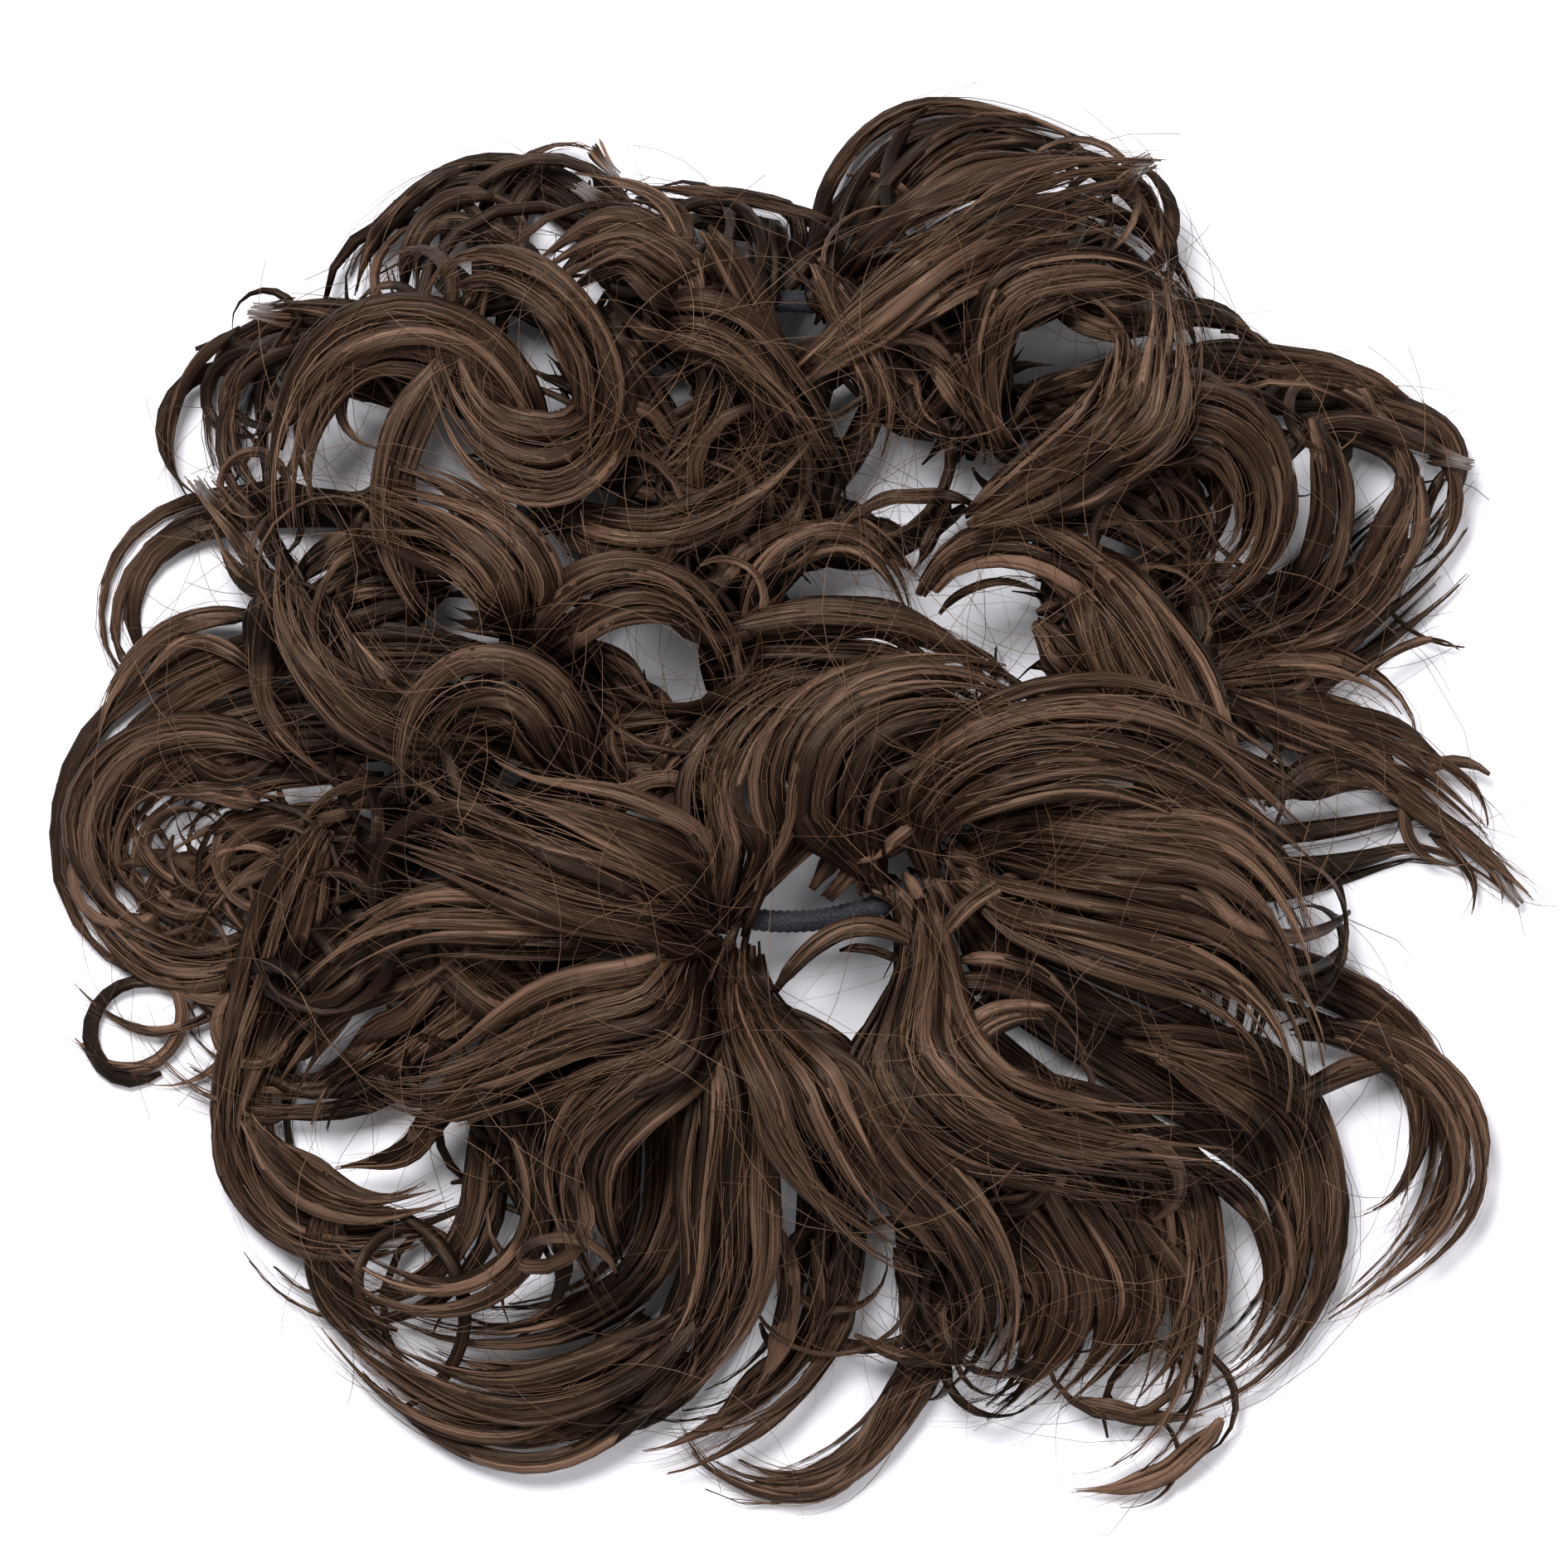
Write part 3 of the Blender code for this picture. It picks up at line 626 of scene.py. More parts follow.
def wisps_of(rng, path):
    """Two narrower wisps that lie along a cord's ribbon and a little over it."""
    first = rng.choice([-1.0, 1.0]) * rng.uniform(0.3, 0.8)
    second = -first * rng.uniform(0.5, 1.1)
    return [
        ribbons_of(rng, path, WISP_RINGS, across, rng.uniform(0.25, 0.55), rng.uniform(0.04, 0.16))
        for across in (first, second)
    ]


STRAND_RADII = (0.00006, 0.00013)
STRAND_RISE = (-0.0003, 0.0014)  # over the lock's crown


def thinned(inner):
    return 1 - 0.7 * smoothstep((inner - 0.6) / 0.4)


def strands_of(rng, path, density, loose, girth):
    """Fine strands along a lock. loose is how far they stray from it near their ends."""
    count = max(2, round(path.width * 1000 * density))
    begin = rng.uniform(0.0, 0.35, (count, 1))
    end = np.clip(begin + rng.uniform(0.45, 1.0, (count, 1)), 0.6, 1.0)
    inner = evenly(STRAND_RINGS)
    shares = begin + (end - begin) * inner
    centres = route(path, shares)
    side, up = frames(centres)
    across = rng.uniform(-1.05, 1.05, (count, 1)) + 0.25 * waves(rng, count, shares, 0.8)
    narrowed = width_along(shares, 0.35)
    crown = 0.32 * path.width * (1 - np.clip(across, -1, 1) ** 2) * narrowed
    above = crown + rng.uniform(*STRAND_RISE, (count, 1))
    stray = loose * rng.normal(0.0, 1.0, (count, 1)) * smoothstep((inner - 0.25) / 0.75) ** 1.5
    rise = loose * 0.6 * rng.uniform(-0.1, 1.0, (count, 1)) * smoothstep((inner - 0.3) / 0.7)
    centres = centres + side * (across * path.width / 2 * narrowed + stray)[..., None]
    centres = centres + up * (above + rise)[..., None]
    radius = girth * rng.uniform(*STRAND_RADII, (count, 1)) * thinned(inner)
    tone = rng.normal(0.2, 0.9, (count, 1)) + 0.0 * shares
    return Tubes(centres, radius, radius, np.zeros_like(shares), tone, 0.0 * tone)


def in_floor_gap(plan):
    """Which of these plan points lie where the photograph shows the floor."""
    seen = np.zeros(len(plan), bool)
    for left, right, bottom, top in FLOOR_GAPS:
        middle = np.array([left + right, bottom + top]) / 2 * PLAN_UNIT + SHIFT[:2]
        half = np.array([right - left, top - bottom]) / 2 * PLAN_UNIT
        seen |= (((plan - middle) / half) ** 2).sum(axis=1) < 1.0
    return seen


# A kind of loose hair. Its bends are in metres and degrees and its rise is between two shares of
# the pile's height there, lifted a little over that. It lies at most astray off the locks, and
# starts within some way of the middle.
Loose = namedtuple("Loose", "wanted radii turns widths rise over_gaps astray lifted within")


LOOSE_CURLS = Loose(280, (0.008, 0.024), (190, 400), (0.0012, 0.0042), (0.25, 1.0), False, 0.0052, 0.0, 1.0)
UNDERCOAT = Loose(230, (0.020, 0.060), (40, 150), (0.0055, 0.0095), (0.08, 0.55), False, 0.0042, 0.0, 0.100)
STRAY_HAIRS = Loose(
    400, (0.014, 0.055), (80, 240), (0.00013, 0.00019), (1.0, 1.06), True, 0.0090, 0.0042, 1.0
)
MOST_TRIES = 12  # for each hair that is wanted
MOST_ASTRAY = 0.05  # the share of a hair that may lie further off the locks than it should
TOPS_WITHIN = 0.009  # how near the locks are whose height a hair takes
LOWEST_HAIR = 0.0012
SMOOTHED_OVER = 21  # points


def loose_hairs(rng, paths, kind):
    """Bent hairs anywhere that the locks lie, at about their height."""
    cloud = np.concatenate([path.points[4::4] for path in paths])
    starts = cloud[from_middle(cloud) < kind.within]
    found, share = [], PATH_SHARES
    for _ in range(kind.wanted * MOST_TRIES):
        if len(found) == kind.wanted:
            break
        start = starts[rng.integers(len(starts))]
        arc = math.radians(rng.uniform(*kind.turns)) * rng.choice([-1.0, 1.0])
        angle = rng.uniform(0.0, 2.0 * math.pi) + arc * share
        reach = rng.uniform(*kind.radii) * (1.0 + rng.uniform(-0.5, 0.5) * share)
        step = reach * abs(arc) / (PATH_POINTS - 1)
        plan = np.cumsum(np.stack([np.cos(angle) * step, np.sin(angle) * step], axis=1), axis=0)
        plan += start[:2] - plan[PATH_POINTS // 3]
        far = np.linalg.norm(plan[::2, None] - cloud[None, :, :2], axis=2)
        if (far.min(axis=1) > kind.astray).mean() > MOST_ASTRAY:
            continue
        if in_floor_gap(plan).any() and not kind.over_gaps:
            continue
        tops = np.where(far < TOPS_WITHIN, cloud[None, :, 2], 0.0).max(axis=1)
        tops = np.pad(np.interp(share, share[::2], tops), SMOOTHED_OVER // 2, "edge")
        tops = np.convolve(tops, np.ones(SMOOTHED_OVER) / SMOOTHED_OVER, "valid")
        low, high = np.sort(rng.uniform(*kind.rise, 2))
        rise = low + (high - low) * np.sin(math.pi * (share + rng.uniform(-0.2, 0.2))) ** 2
        height = np.maximum(tops * rise + kind.lifted, LOWEST_HAIR)
        found.append(path_of(plan, height, rng.uniform(*kind.widths)))
    return found


def single_hair(rng, path):
    """One fine hair that follows a path alone."""
    inner = evenly(STRAND_RINGS)
    radius = path.width / 2 * thinned(inner)
    tone = rng.normal(0.3, 0.7) + 0.0 * inner
    return Tubes(route(path, inner), radius, radius, 0.0 * inner, tone, 0.0 * tone)


ROOT_FROM, ROOT_TO = (-0.0065, -0.003), (0.008, 0.020)  # from the band, inward and outward
ROOT_RISE, ROOT_FALL = 0.0020, 0.003
ROOT_WIDTHS = (0.0014, 0.0034)


def root_hairs(rng, height):
    """Short hairs that wrap over the band all round, but for where the elastic is seen."""
    hairs = []
    for degrees in np.linspace(0.0, 360.0, ROOT_HAIRS, endpoint=False):
        degrees += rng.uniform(-1.5, 1.5)
        if any(low < degrees < high for low, high in BARE_BAND):
            continue
        start = band_point(degrees, rng.uniform(*ROOT_FROM))
        end = band_point(degrees + rng.normal(0.0, 4.0), rng.uniform(*ROOT_TO))
        share = PATH_SHARES[:, None]
        bend = heading(degrees + 90.0) * rng.normal(0.0, 0.002) * np.sin(math.pi * share)
        plan = start + (end - start) * share + bend
        rise = height + ROOT_RISE * np.sin(math.pi * np.clip(share * 1.3, 0, 1)) - ROOT_FALL * share
        points = np.column_stack([plan, rise]) + SHIFT
        hairs.append(Path(even(points), rng.uniform(*ROOT_WIDTHS), 0.5))
    return hairs


def joined(groups):
    return Tubes(*[np.concatenate(parts) for parts in zip(*groups)])


# A pinched end of a lock, painted pale grey as a highlight: where it ends, in percentages, the way it
# points and its width
Tuft = namedtuple("Tuft", "x y way width")


TUFTS = (
    (-71.0, 38.7, 122, 2.6),
    (-64.5, 58.4, 172, 3.0),
    (-25.5, 73.2, 152, 2.8),
    (-19.6, 73.6, 318, 2.2),
    (43.5, 76.0, 22, 3.4),
    (82.2, 40.0, 345, 2.2),
    (88.3, -12.8, 310, 2.0),
)
TUFT_HAIRS = 14
TUFT_LENGTH = 0.010
TUFT_REACH = 0.003  # how near a lock has to pass for the tuft to lie on it
TUFT_RISE = 0.0015
TUFT_SHORTER = 0.16  # the most that a hair falls short, of the tuft's length
TUFT_CROWN, TUFT_SAG = 0.0011, 0.0020  # how much its middle is higher, and its root lower
TUFT_HALF_WIDTHS = (0.00026, 0.00046)
# How much of the painted highlight's pale grey the tufts' ends take
TUFT_HIGHLIGHT = 0.9


def tuft_hairs(rng, tuft, cloud):
    """The end of a lock, drawn together to a blunt brush on top of the lock there, painted pale grey
    towards its tip as a highlight.
    """
    end = np.array([tuft.x, tuft.y]) * PLAN_UNIT + SHIFT[:2]
    onward, beside = heading(tuft.way), heading(tuft.way + 90.0)
    far = np.linalg.norm(cloud[:, :2] - end, axis=1)
    top = cloud[far <= max(far.min(), TUFT_REACH), 2].max() + TUFT_RISE
    inner = evenly(ROOT_RINGS)
    place = rng.uniform(-1.0, 1.0, (TUFT_HAIRS, 1))
    short = rng.uniform(0.0, TUFT_SHORTER, (TUFT_HAIRS, 1))
    along = (inner * (1.0 - short) - 1.0) * TUFT_LENGTH
    half = tuft.width * PLAN_UNIT / 2 * (1.25 - 0.75 * smoothstep(inner / 0.8) + 0.15 * inner)
    bend = 0.0012 * rng.normal() * (1.0 - inner) ** 2
    plan = end + along[..., None] * onward + (place * half + bend)[..., None] * beside
    crown = TUFT_CROWN * (1.0 - place**2) + rng.uniform(-0.0004, 0.0004, (TUFT_HAIRS, 1))
    height = top + crown - TUFT_SAG * (1.0 - inner) ** 2
    centres = np.concatenate([plan, height[..., None]], axis=2)
    wide = rng.uniform(*TUFT_HALF_WIDTHS, (TUFT_HAIRS, 1)) * taper(inner, root=0.25, tip=0.5)
    tone = rng.normal(0.0, 0.7, (TUFT_HAIRS, 1)) + 0.0 * inner
    grey = TUFT_HIGHLIGHT * smoothstep((inner - 0.30) / 0.5) + 0.0 * place
    return Tubes(centres, wide, 0.6 * wide, 0.0 * tone, tone, grey)


# Where the hair parts below the middle, in percentages, and the tilt of the band there in degrees
PARTING_MIDDLE = (4.5, -17.5)
PARTING_TILT = 18.0
PARTING_HALF_WIDTH = 9.0
PARTING_HALF_HEIGHT = 15.5
PARTING_REACH = 22.0  # from the middle, how far hair is drawn aside


def parted(tubes):
    """The same hairs, each drawn aside to one side of the opening that shows the floor."""
    away = (tubes.centres[..., :2] - np.array(PARTING_MIDDLE) * PLAN_UNIT - SHIFT[:2]) / PLAN_UNIT
    beside, ahead = away @ heading(PARTING_TILT), away @ heading(PARTING_TILT + 90.0)
    near = np.clip(1.0 - (ahead / PARTING_HALF_HEIGHT) ** 2, 0.0, 1.0)
    near = near * (np.abs(beside) < PARTING_REACH)
    side = np.where((beside * near).sum(axis=1, keepdims=True) < 0.0, -1.0, 1.0)
    opened = PARTING_HALF_WIDTH * near**1.5
    off = side * beside
    moved = off + opened * (1.0 - np.abs(off) / PARTING_REACH)
    shift = (side * moved - beside) * (near > 0.0) * PLAN_UNIT
    centres = tubes.centres.copy()
    centres[..., :2] += shift[..., None] * heading(PARTING_TILT)
    return tubes._replace(centres=centres)


HEIGHT_CELL = 0.005
PAINTED_SHADE, PAINTED_SHADE_DEPTH = 3.0, 0.024  # painted shade: how much darker the hair is painted that lies this deep under the pile's top


# How high the hair reaches over each cell of the floor, from which the painted shade is measured
Pile = namedtuple("Pile", "corner tops")


def pile_of(paths):
    points = np.concatenate([path.points for path in paths])
    corner = points[:, :2].min(axis=0) - 4 * HEIGHT_CELL
    cells = ((points[:, :2] - corner) / HEIGHT_CELL).astype(int)
    tops = np.zeros(cells.max(axis=0) + 5)
    np.maximum.at(tops, (cells[:, 0], cells[:, 1]), points[:, 2])
    for axis in (0, 1):
        tops = np.maximum(tops, np.maximum(np.roll(tops, 1, axis), np.roll(tops, -1, axis)))
    return Pile(corner, tops)


def with_painted_shade(tubes, pile):
    """The same hairs with painted shade: darker the further they lie under the top of the pile."""
    cells = ((tubes.centres[..., :2] - pile.corner) / HEIGHT_CELL).astype(int)
    cells = np.clip(cells, 0, np.array(pile.tops.shape) - 1)
    under = pile.tops[cells[..., 0], cells[..., 1]] - tubes.centres[..., 2]
    return tubes._replace(tone=tubes.tone - PAINTED_SHADE * smoothstep(under / PAINTED_SHADE_DEPTH))


FLOOR_GAP = 0.0002
OVER_BOX = 0.007  # how far a loose hair may stand out of the frame's box


def keep_in_box(tubes):
    """Loose hairs drawn back inside the frame's box and laid on the floor rather than in it."""
    low, high = np.array(CAD_BOX[0]) - OVER_BOX, np.array(CAD_BOX[1]) + OVER_BOX
    low[2] = FLOOR_GAP
    reach = np.maximum(tubes.half_width, tubes.half_thickness)[..., None]
    return tubes._replace(centres=np.clip(tubes.centres, low + reach, high - reach))


UV_MARGIN = 0.06  # of a cell of the map


def tube_mesh(name, tubes, sides, rng):
    """One closed mesh of many tubes. Ridges run along each, as the hairs that it stands for do."""
    count, rings = tubes.centres.shape[:2]
    ridge = RIDGE if sides > STRAND_SIDES else 0.0
    side, up = frames(tubes.centres)
    cos, sin = np.cos(tubes.roll)[..., None], np.sin(tubes.roll)[..., None]
    wide_way, thick_way = side * cos + up * sin, up * cos - side * sin
    angle = 2.0 * math.pi * (np.arange(sides) + 0.5) / sides
    bump = 1.0 + ridge * rng.uniform(-1.0, 1.0, (count, 1, sides))
    x = np.cos(angle) * tubes.half_width[..., None]
    y = np.sin(angle) * tubes.half_thickness[..., None] * bump
    rim = tubes.centres[:, :, None] + x[..., None] * wide_way[:, :, None]
    rim = rim + y[..., None] * thick_way[:, :, None]
    ends = np.stack([tubes.centres[:, 0], tubes.centres[:, -1]], axis=1)
    points = np.concatenate([rim.reshape(count, rings * sides, 3), ends], axis=1)
    per_tube = rings * sides + 2

    k = np.arange(sides)
    after = (k + 1) % sides
    ring = np.arange(rings - 1)[:, None] * sides
    quads = np.stack([ring + k, ring + after, ring + sides + after, ring + sides + k], axis=-1)
    quads = quads.reshape(-1, 4)
    last = (rings - 1) * sides
    root_tris = np.stack([after, k, np.full(sides, per_tube - 2)], axis=-1)
    tip_tris = np.stack([last + k, last + after, np.full(sides, per_tube - 1)], axis=-1)
    tris = np.concatenate([root_tris, tip_tris])
    loops_one = np.concatenate([quads.ravel(), tris.ravel()])
    sizes_one = np.repeat([4, 3], [len(quads), len(tris)])

    offsets = np.arange(count)[:, None] * per_tube
    loops = (loops_one[None] + offsets).ravel()
    starts_one = np.cumsum(sizes_one) - sizes_one
    starts = (starts_one[None] + np.arange(count)[:, None] * len(loops_one)).ravel()

    mesh = bpy.data.meshes.new(name)
    mesh.vertices.add(count * per_tube)
    mesh.vertices.foreach_set("co", points.astype(np.float32).ravel())
    mesh.loops.add(len(loops))
    mesh.loops.foreach_set("vertex_index", loops.astype(np.int32))
    mesh.polygons.add(len(starts))
    mesh.polygons.foreach_set("loop_start", starts.astype(np.int32))
    mesh.polygons.foreach_set("use_smooth", np.ones(len(starts), bool))
    mesh.update(calc_edges=True)

    def per_point(values):
        body = np.repeat(values[:, :, None], sides, axis=2).reshape(count, rings * sides)
        return np.concatenate([body, values[:, :1], values[:, -1:]], axis=1)

    length = np.linalg.norm(np.diff(tubes.centres, axis=1), axis=2)
    run = np.concatenate([np.zeros((count, 1)), np.cumsum(length, axis=1)], axis=1)
    share = np.broadcast_to(evenly(rings), (count, rings))
    # The hairs' own tone carries the painted shade of deep hair too, and the tufts' ends carry a painted
    # highlight.
    whole = {"tone": per_point(tubes.tone), "run": per_point(run), "share": per_point(share)}
    whole["across"] = np.concatenate([x.reshape(count, -1), np.zeros((count, 2))], axis=1)
    whole["kin"] = rng.uniform(0.0, 1.0, (count, 1)) + np.zeros((count, per_tube))
    whole["grey"] = per_point(tubes.grey)
    for label, values in whole.items():
        data = mesh.attributes.new(label, "FLOAT", "POINT").data
        data.foreach_set("value", values.astype(np.float32).ravel())

    # Each tube has its own cell of the map, with its length across and its girth up.
    cells = math.ceil(math.sqrt(count))
    row = ring // sides + 0 * k
    quad_u = np.stack([row, row, row + 1, row + 1], axis=-1) / (rings - 1)
    tri_u = np.repeat([[0.02, 0.02, 0.0], [0.98, 0.98, 1.0]], sides, axis=0)
    low, high, half = k / sides, (k + 1) / sides, (k + 0.5) / sides
    quad_v = np.tile(np.stack([low, high, high, low], axis=-1), (rings - 1, 1))
    tri_v = np.stack([[high, low, half], [low, high, half]]).transpose(0, 2, 1)
    one_u = np.concatenate([quad_u.ravel(), tri_u.ravel()])
    one_v = np.concatenate([quad_v.ravel(), tri_v.ravel()])
    one = np.stack([one_u, one_v], axis=-1)
    corner = np.stack([np.arange(count) % cells, np.arange(count) // cells], axis=-1)[:, None]
    uv = (corner + UV_MARGIN + (1.0 - 2.0 * UV_MARGIN) * one[None]) / cells
    layer = mesh.uv_layers.new(name="OFBake")
    layer.data.foreach_set("uv", uv.astype(np.float32).ravel())
    return mesh


def new_material(name):
    """A material, its nodes, its links and its shader."""
    material = bpy.data.materials.new(name)
    material.use_nodes = True
    tree = material.node_tree
    return material, tree.nodes, tree.links, tree.nodes["Principled BSDF"]


def set_inputs(node, values):
    for label, value in values.items():
        node.inputs[label].default_value = value


def add_ramp(nodes, places, colours):
    ramp = nodes.new("ShaderNodeValToRGB")
    for stop, place, colour in zip(ramp.color_ramp.elements, places, colours):
        stop.position, stop.color = place, (*colour, 1.0)
    return ramp


def add_relief(nodes, links, height, shader, values):
    relief = nodes.new("ShaderNodeBump")
    set_inputs(relief, values)
    links.new(height, relief.inputs["Height"])
    links.new(relief.outputs["Normal"], shader.inputs["Normal"])


def hair_material(name, dark, mid, light):
    """Brown fibre: streaks run along each wisp in colour and in relief, with a soft sheen."""
    material, nodes, links, shader = new_material(name)

    def attribute(label):
        node = nodes.new("ShaderNodeAttribute")
        node.attribute_name = label
        return node.outputs["Fac"]

    def math_node(operation, a, b):
        node = nodes.new("ShaderNodeMath")
        node.operation = operation
        for socket, value in zip(node.inputs, (a, b)):
            if isinstance(value, (int, float)):
                socket.default_value = value
            else:
                links.new(value, socket)
        return node.outputs[0]

    def weighted(value, weight):
        return math_node("MULTIPLY", value, weight)

    def fibre_noise(across_rate, run_rate):
        place = nodes.new("ShaderNodeCombineXYZ")
        rates = (("across", across_rate), ("run", run_rate), ("kin", KIN_SPREAD))
        for socket, (label, rate) in zip(place.inputs, rates):
            links.new(weighted(attribute(label), rate), socket)
        noise = nodes.new("ShaderNodeTexNoise")
        set_inputs(noise, {"Scale": 1.0, "Detail": 1.0})
        links.new(place.outputs[0], noise.inputs["Vector"])
        return noise.outputs["Fac"]

    coarse, medium, fine = [fibre_noise(*rates) for rates in STREAK_RATES]
    # Each hair's own tone, less the painted shade where it lies deep
    tone = weighted(attribute("tone"), TONE_AND_SHADE_WEIGHT)
    streak = math_node("ADD", weighted(coarse, COARSE_WEIGHT), weighted(fine, FINE_WEIGHT))
    streak = math_node("ADD", streak, weighted(medium, MEDIUM_WEIGHT))
    tipped = weighted(math_node("POWER", attribute("share"), TIP_POWER), TIP_WEIGHT)
    value = math_node("ADD", math_node("ADD", streak, tone), tipped)
    ramp = add_ramp(nodes, (DARK_STOP, LIGHT_STOP), (dark, light))
    ramp.color_ramp.elements.new(MID_STOP).color = (*mid, 1.0)
    links.new(value, ramp.inputs["Fac"])
    # Painted highlight: the tufts' ends mixed towards a pale grey
    highlighted = nodes.new("ShaderNodeMix")
    highlighted.data_type = "RGBA"
    links.new(attribute("grey"), highlighted.inputs["Factor"])
    links.new(ramp.outputs["Color"], highlighted.inputs["A"])
    highlighted.inputs["B"].default_value = (*TUFT_HIGHLIGHT_GREY, 1.0)
    links.new(highlighted.outputs["Result"], shader.inputs["Base Color"])
    add_relief(nodes, links, streak, shader, HAIR_RELIEF)
    set_inputs(shader, HAIR_SHADER)
    return material


def add_object(name, data):
    made = bpy.data.objects.new(name, data)
    bpy.context.scene.collection.objects.link(made)
    return made


def add_piece(name, mesh, material, node):
    mesh.materials.append(material)
    piece = add_object(name, mesh)
    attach(piece, "root")
    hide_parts(node)


def add_hair(prefix, tubes, sides, material, node, rng):
    """Pieces of at most MOST_PIECE_TRIANGLES each, in the order that the tubes come."""
    rings = tubes.centres.shape[1]
    most = MOST_PIECE_TRIANGLES // (2 * sides * rings)
    tubes = keep_in_box(tubes)
    count = len(tubes.centres)
    parts = math.ceil(count / most)
    for part, cut in enumerate(np.array_split(np.arange(count), parts), 1):
        some = Tubes(*[values[cut] for values in tubes])
        name = f"{prefix}_{part}"
        add_piece(name, tube_mesh(name, some, sides, rng), material, node)


def in_layer(paths, label):
    return [path for path in paths if (path.level > UPPER_FROM) == (label == "upper")]


def make_hair():
    fibre = hair_material("brown_fibre", *WISP_COLOURS)
    fine = hair_material("brown_strand", *STRAND_COLOURS)
    lower = [lock_path(Lock(*row), LOWER) for row in LOWER_LOCKS]
    upper = [lock_path(Lock(*row), UPPER) for row in UPPER_LOCKS]
    curls = [curl_path(Curl(*row)) for row in CURLS]
    lower += in_layer(curls, "lower")
    upper += in_layer(curls, "upper")
    bridges = [curl_path(Curl(*row)) for row in OPENING_CURLS]
    pile = pile_of(lower + upper + bridges)
    short, under, stray = [
        loose_hairs(np.random.default_rng([SEED, stream]), lower + upper, kind)
        for stream, kind in ((1, LOOSE_CURLS), (4, UNDERCOAT), (3, STRAY_HAIRS))
    ]
    layers = (
        ("lower", "lower_weft_locks", lower, LOWER.weft),
        ("upper", "upper_weft_locks", upper, UPPER.weft),
    )
    for number, (label, node, paths, weft) in enumerate(layers):
        rng = np.random.default_rng([SEED, 2, number])
        paths = paths + sisters_of(rng, paths)
        over = bridges if label == "upper" else []
        cords, over_cords = [
            [cord for path in routes for cord in cords_of(rng, path)] for routes in (paths, over)
        ]

        def add(name, sides, material, own, crossing=()):
            tubes = with_painted_shade(joined([parted(joined(own)), *crossing]), pile)
            add_hair(f"{label}_{name}", tubes, sides, material, node, rng)

        def along(routes, hairs_of, *how):
            return [hairs_of(rng, path, *how) for path in routes]

        own, crossing = along(cords, ribbons_of), along(over_cords, ribbons_of)
        add("ribbons", RIBBON_SIDES, fibre, own, crossing)
        own, crossing = along(cords, wisps_of), along(over_cords, wisps_of)
        add("wisps", WISP_SIDES, fibre, sum(own, []), sum(crossing, []))
        add("curls", CURL_SIDES, fibre, along(in_layer(short + under, label), ribbons_of, CURL_RINGS))
        add("roots", CURL_SIDES, fibre, along(root_hairs(rng, weft), ribbons_of, ROOT_RINGS))
        own, crossing = along(paths, strands_of, *STRANDS), along(over, strands_of, *STRANDS)
        add("strands", STRAND_SIDES, fine, own, crossing)
        own = along(paths, strands_of, *FLYAWAYS) + along(in_layer(stray, label), single_hair)
        add("flyaways", STRAND_SIDES, fine, own)
    rng = np.random.default_rng([SEED, 5])
    cloud = np.concatenate([path.points for path in lower + upper])
    tufts = joined([tuft_hairs(rng, Tuft(*row), cloud) for row in TUFTS])
    add_hair("upper_tufts", tufts, CURL_SIDES, fibre, "upper_weft_locks", rng)


def elastic_material():
    """Near-black thread, a little uneven in its relief and its colour."""
    material, nodes, links, shader = new_material("woven_elastic")
    place = nodes.new("ShaderNodeTexCoord")
    noise = nodes.new("ShaderNodeTexNoise")
    set_inputs(noise, ELASTIC_NOISE)
    links.new(place.outputs["Object"], noise.inputs["Vector"])
    ramp = add_ramp(nodes, ELASTIC_STOPS, (ELASTIC_DARK, ELASTIC_LIGHT))
    links.new(noise.outputs["Fac"], ramp.inputs["Fac"])
    links.new(ramp.outputs["Color"], shader.inputs["Base Color"])
    add_relief(nodes, links, noise.outputs["Fac"], shader, ELASTIC_BUMP)
    set_inputs(shader, ELASTIC_SHADER)
    return material


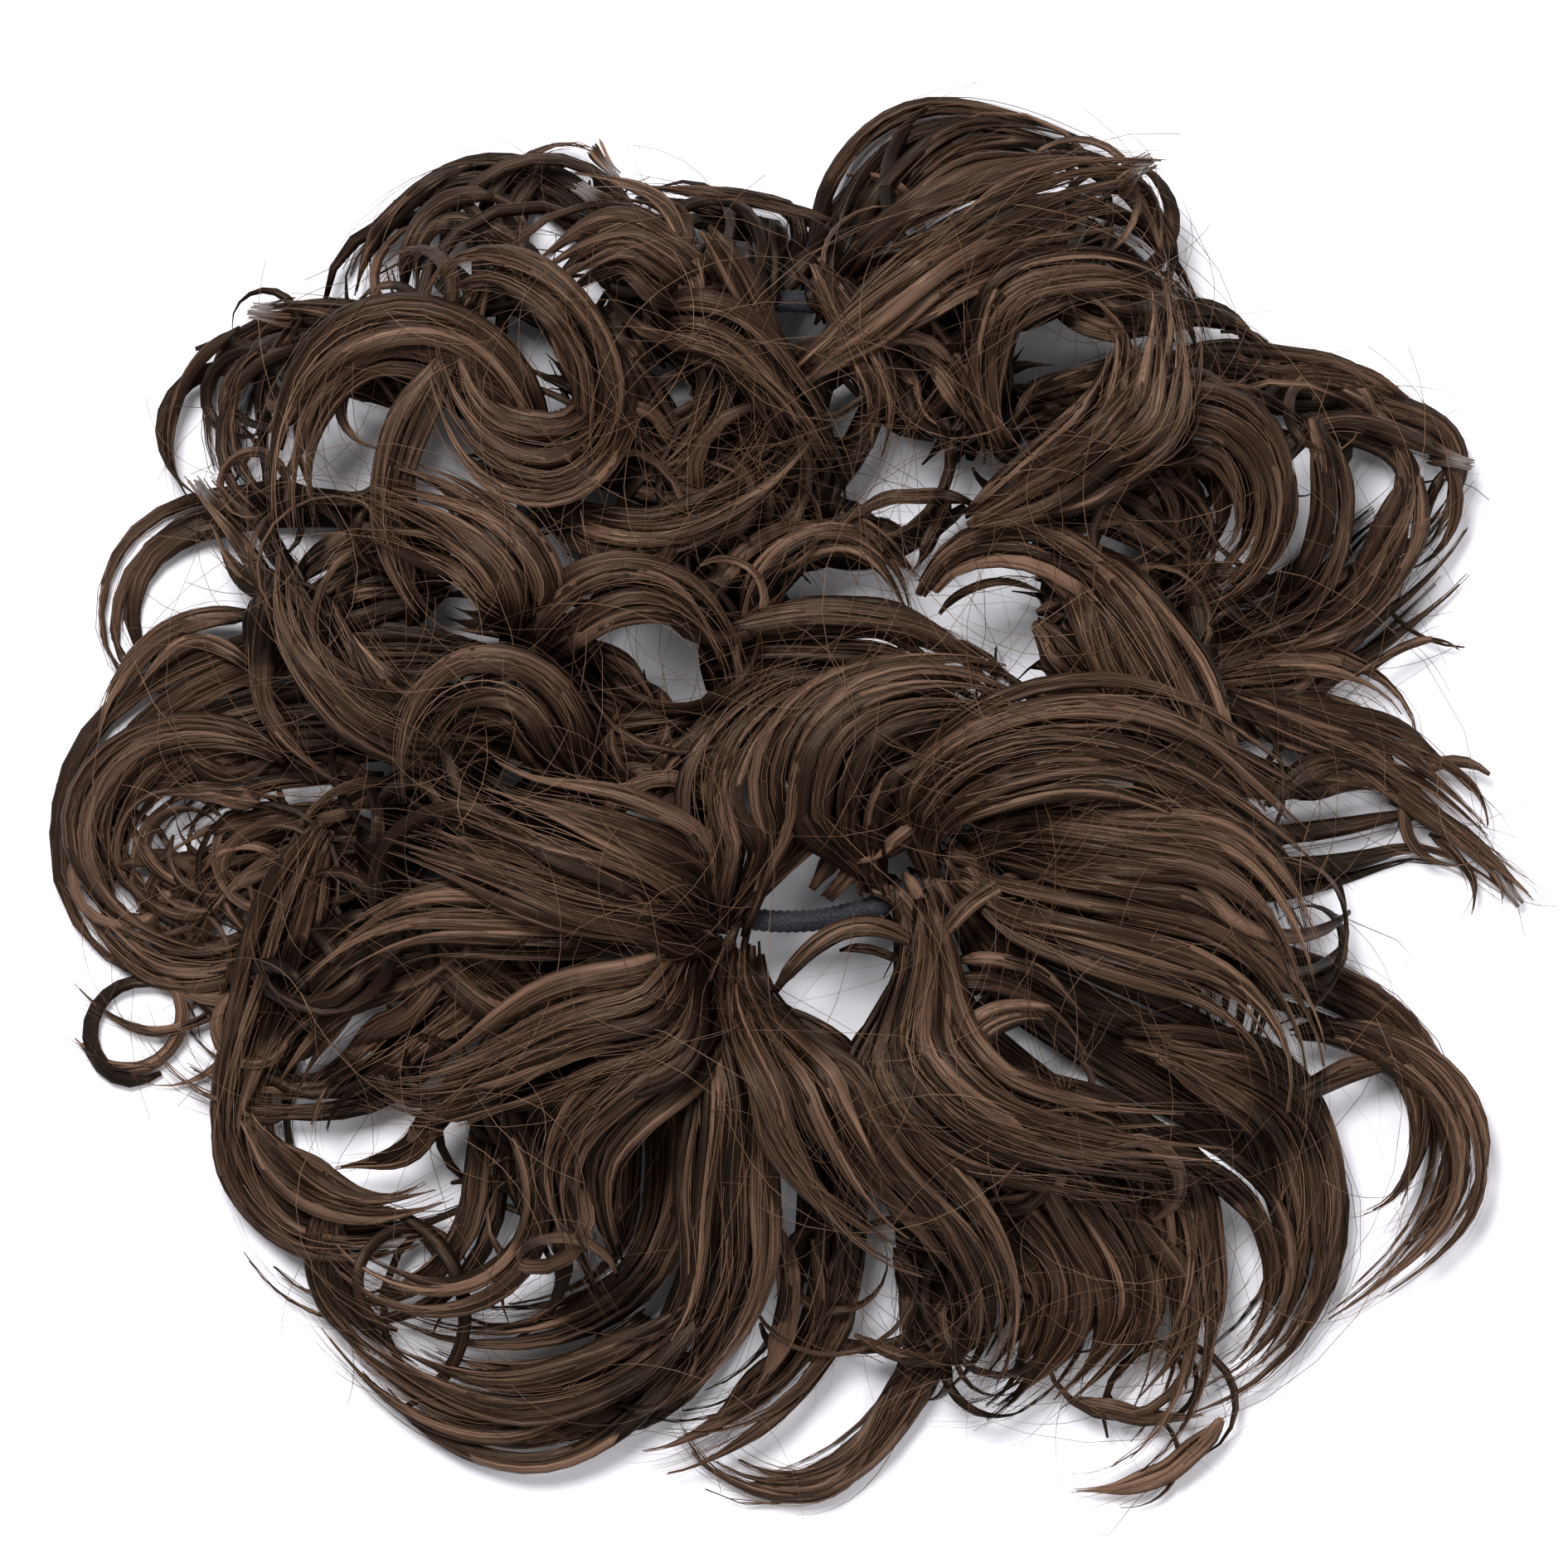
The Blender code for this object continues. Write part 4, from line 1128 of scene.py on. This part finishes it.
def make_elastic():
    """The band as a cord of slanting ribs, kept within the frame's round section."""
    turn = np.linspace(0.0, 2.0 * math.pi, ELASTIC_STEPS, endpoint=False)[:, None]
    girth = np.linspace(0.0, 2.0 * math.pi, ELASTIC_SIDES, endpoint=False)[None]
    rib = np.cos(ELASTIC_RIBS * turn + ELASTIC_STARTS * girth)
    radius = BAND_THICKNESS / 2 * (1.0 - ELASTIC_RELIEF + ELASTIC_RELIEF * rib)
    out = radius * np.cos(girth)
    points = np.stack(
        [
            np.cos(turn) * (BAND_HALF_WIDTH + out) + SHIFT[0],
            np.sin(turn) * (BAND_HALF_LENGTH + out) + SHIFT[1] + BAND_AHEAD,
            BAND_HEIGHT + radius * np.sin(girth) + 0.0 * turn,
        ],
        axis=-1,
    ).reshape(-1, 3)
    step = np.arange(ELASTIC_STEPS)[:, None] * ELASTIC_SIDES
    ahead = np.roll(step, -1, axis=0)
    side = np.arange(ELASTIC_SIDES)[None]
    after = np.roll(side, -1, axis=1)
    faces = np.stack([step + side, ahead + side, ahead + after, step + after], axis=-1)
    mesh = bpy.data.meshes.new("elastic_cord")
    mesh.from_pydata(points.tolist(), [], faces.reshape(-1, 4).tolist())
    mesh.polygons.foreach_set("use_smooth", np.ones(len(mesh.polygons), bool))
    add_piece("elastic_cord", mesh, elastic_material(), "elastic_band")


def make_floor():
    mesh = bpy.data.meshes.new("floor")
    corners = [(x * FLOOR_SIZE, y * FLOOR_SIZE, 0) for x, y in ((-1, -1), (1, -1), (1, 1), (-1, 1))]
    mesh.from_pydata(corners, [], [(0, 1, 2, 3)])
    floor = add_object("floor", mesh)
    material, _, _, shader = new_material("white_ground")
    set_inputs(shader, FLOOR_SHADER)
    mesh.materials.append(material)


def add_area_light(name, place, size, power):
    data = bpy.data.lights.new(name, "AREA")
    data.shape = "DISK"
    data.size = size
    data.energy = power
    light = add_object(name, data)
    light.location = place
    light.rotation_euler = (-Vector(place)).to_track_quat("-Z", "Y").to_euler()


def make_studio():
    world = bpy.data.worlds.new("studio")
    bpy.context.scene.world = world
    world.use_nodes = True
    sky = {"Color": (1.0, 1.0, 1.0, 1.0), "Strength": SKY_STRENGTH}
    set_inputs(world.node_tree.nodes["Background"], sky)
    for light in LIGHTS:
        add_area_light(*light)
    bpy.context.scene.view_settings.view_transform = "Standard"


def make_camera():
    data = bpy.data.cameras.new("camera")
    data.sensor_width = SENSOR_WIDTH
    data.lens = SENSOR_WIDTH * CAMERA_HEIGHT / FRAME_SIDE
    data.clip_end = 50.0
    camera = add_object("camera", data)
    camera.location = (CAMERA_X, CAMERA_Y, CAMERA_HEIGHT)
    bpy.context.scene.camera = camera


make_camera()
make_studio()
make_floor()
make_elastic()
make_hair()
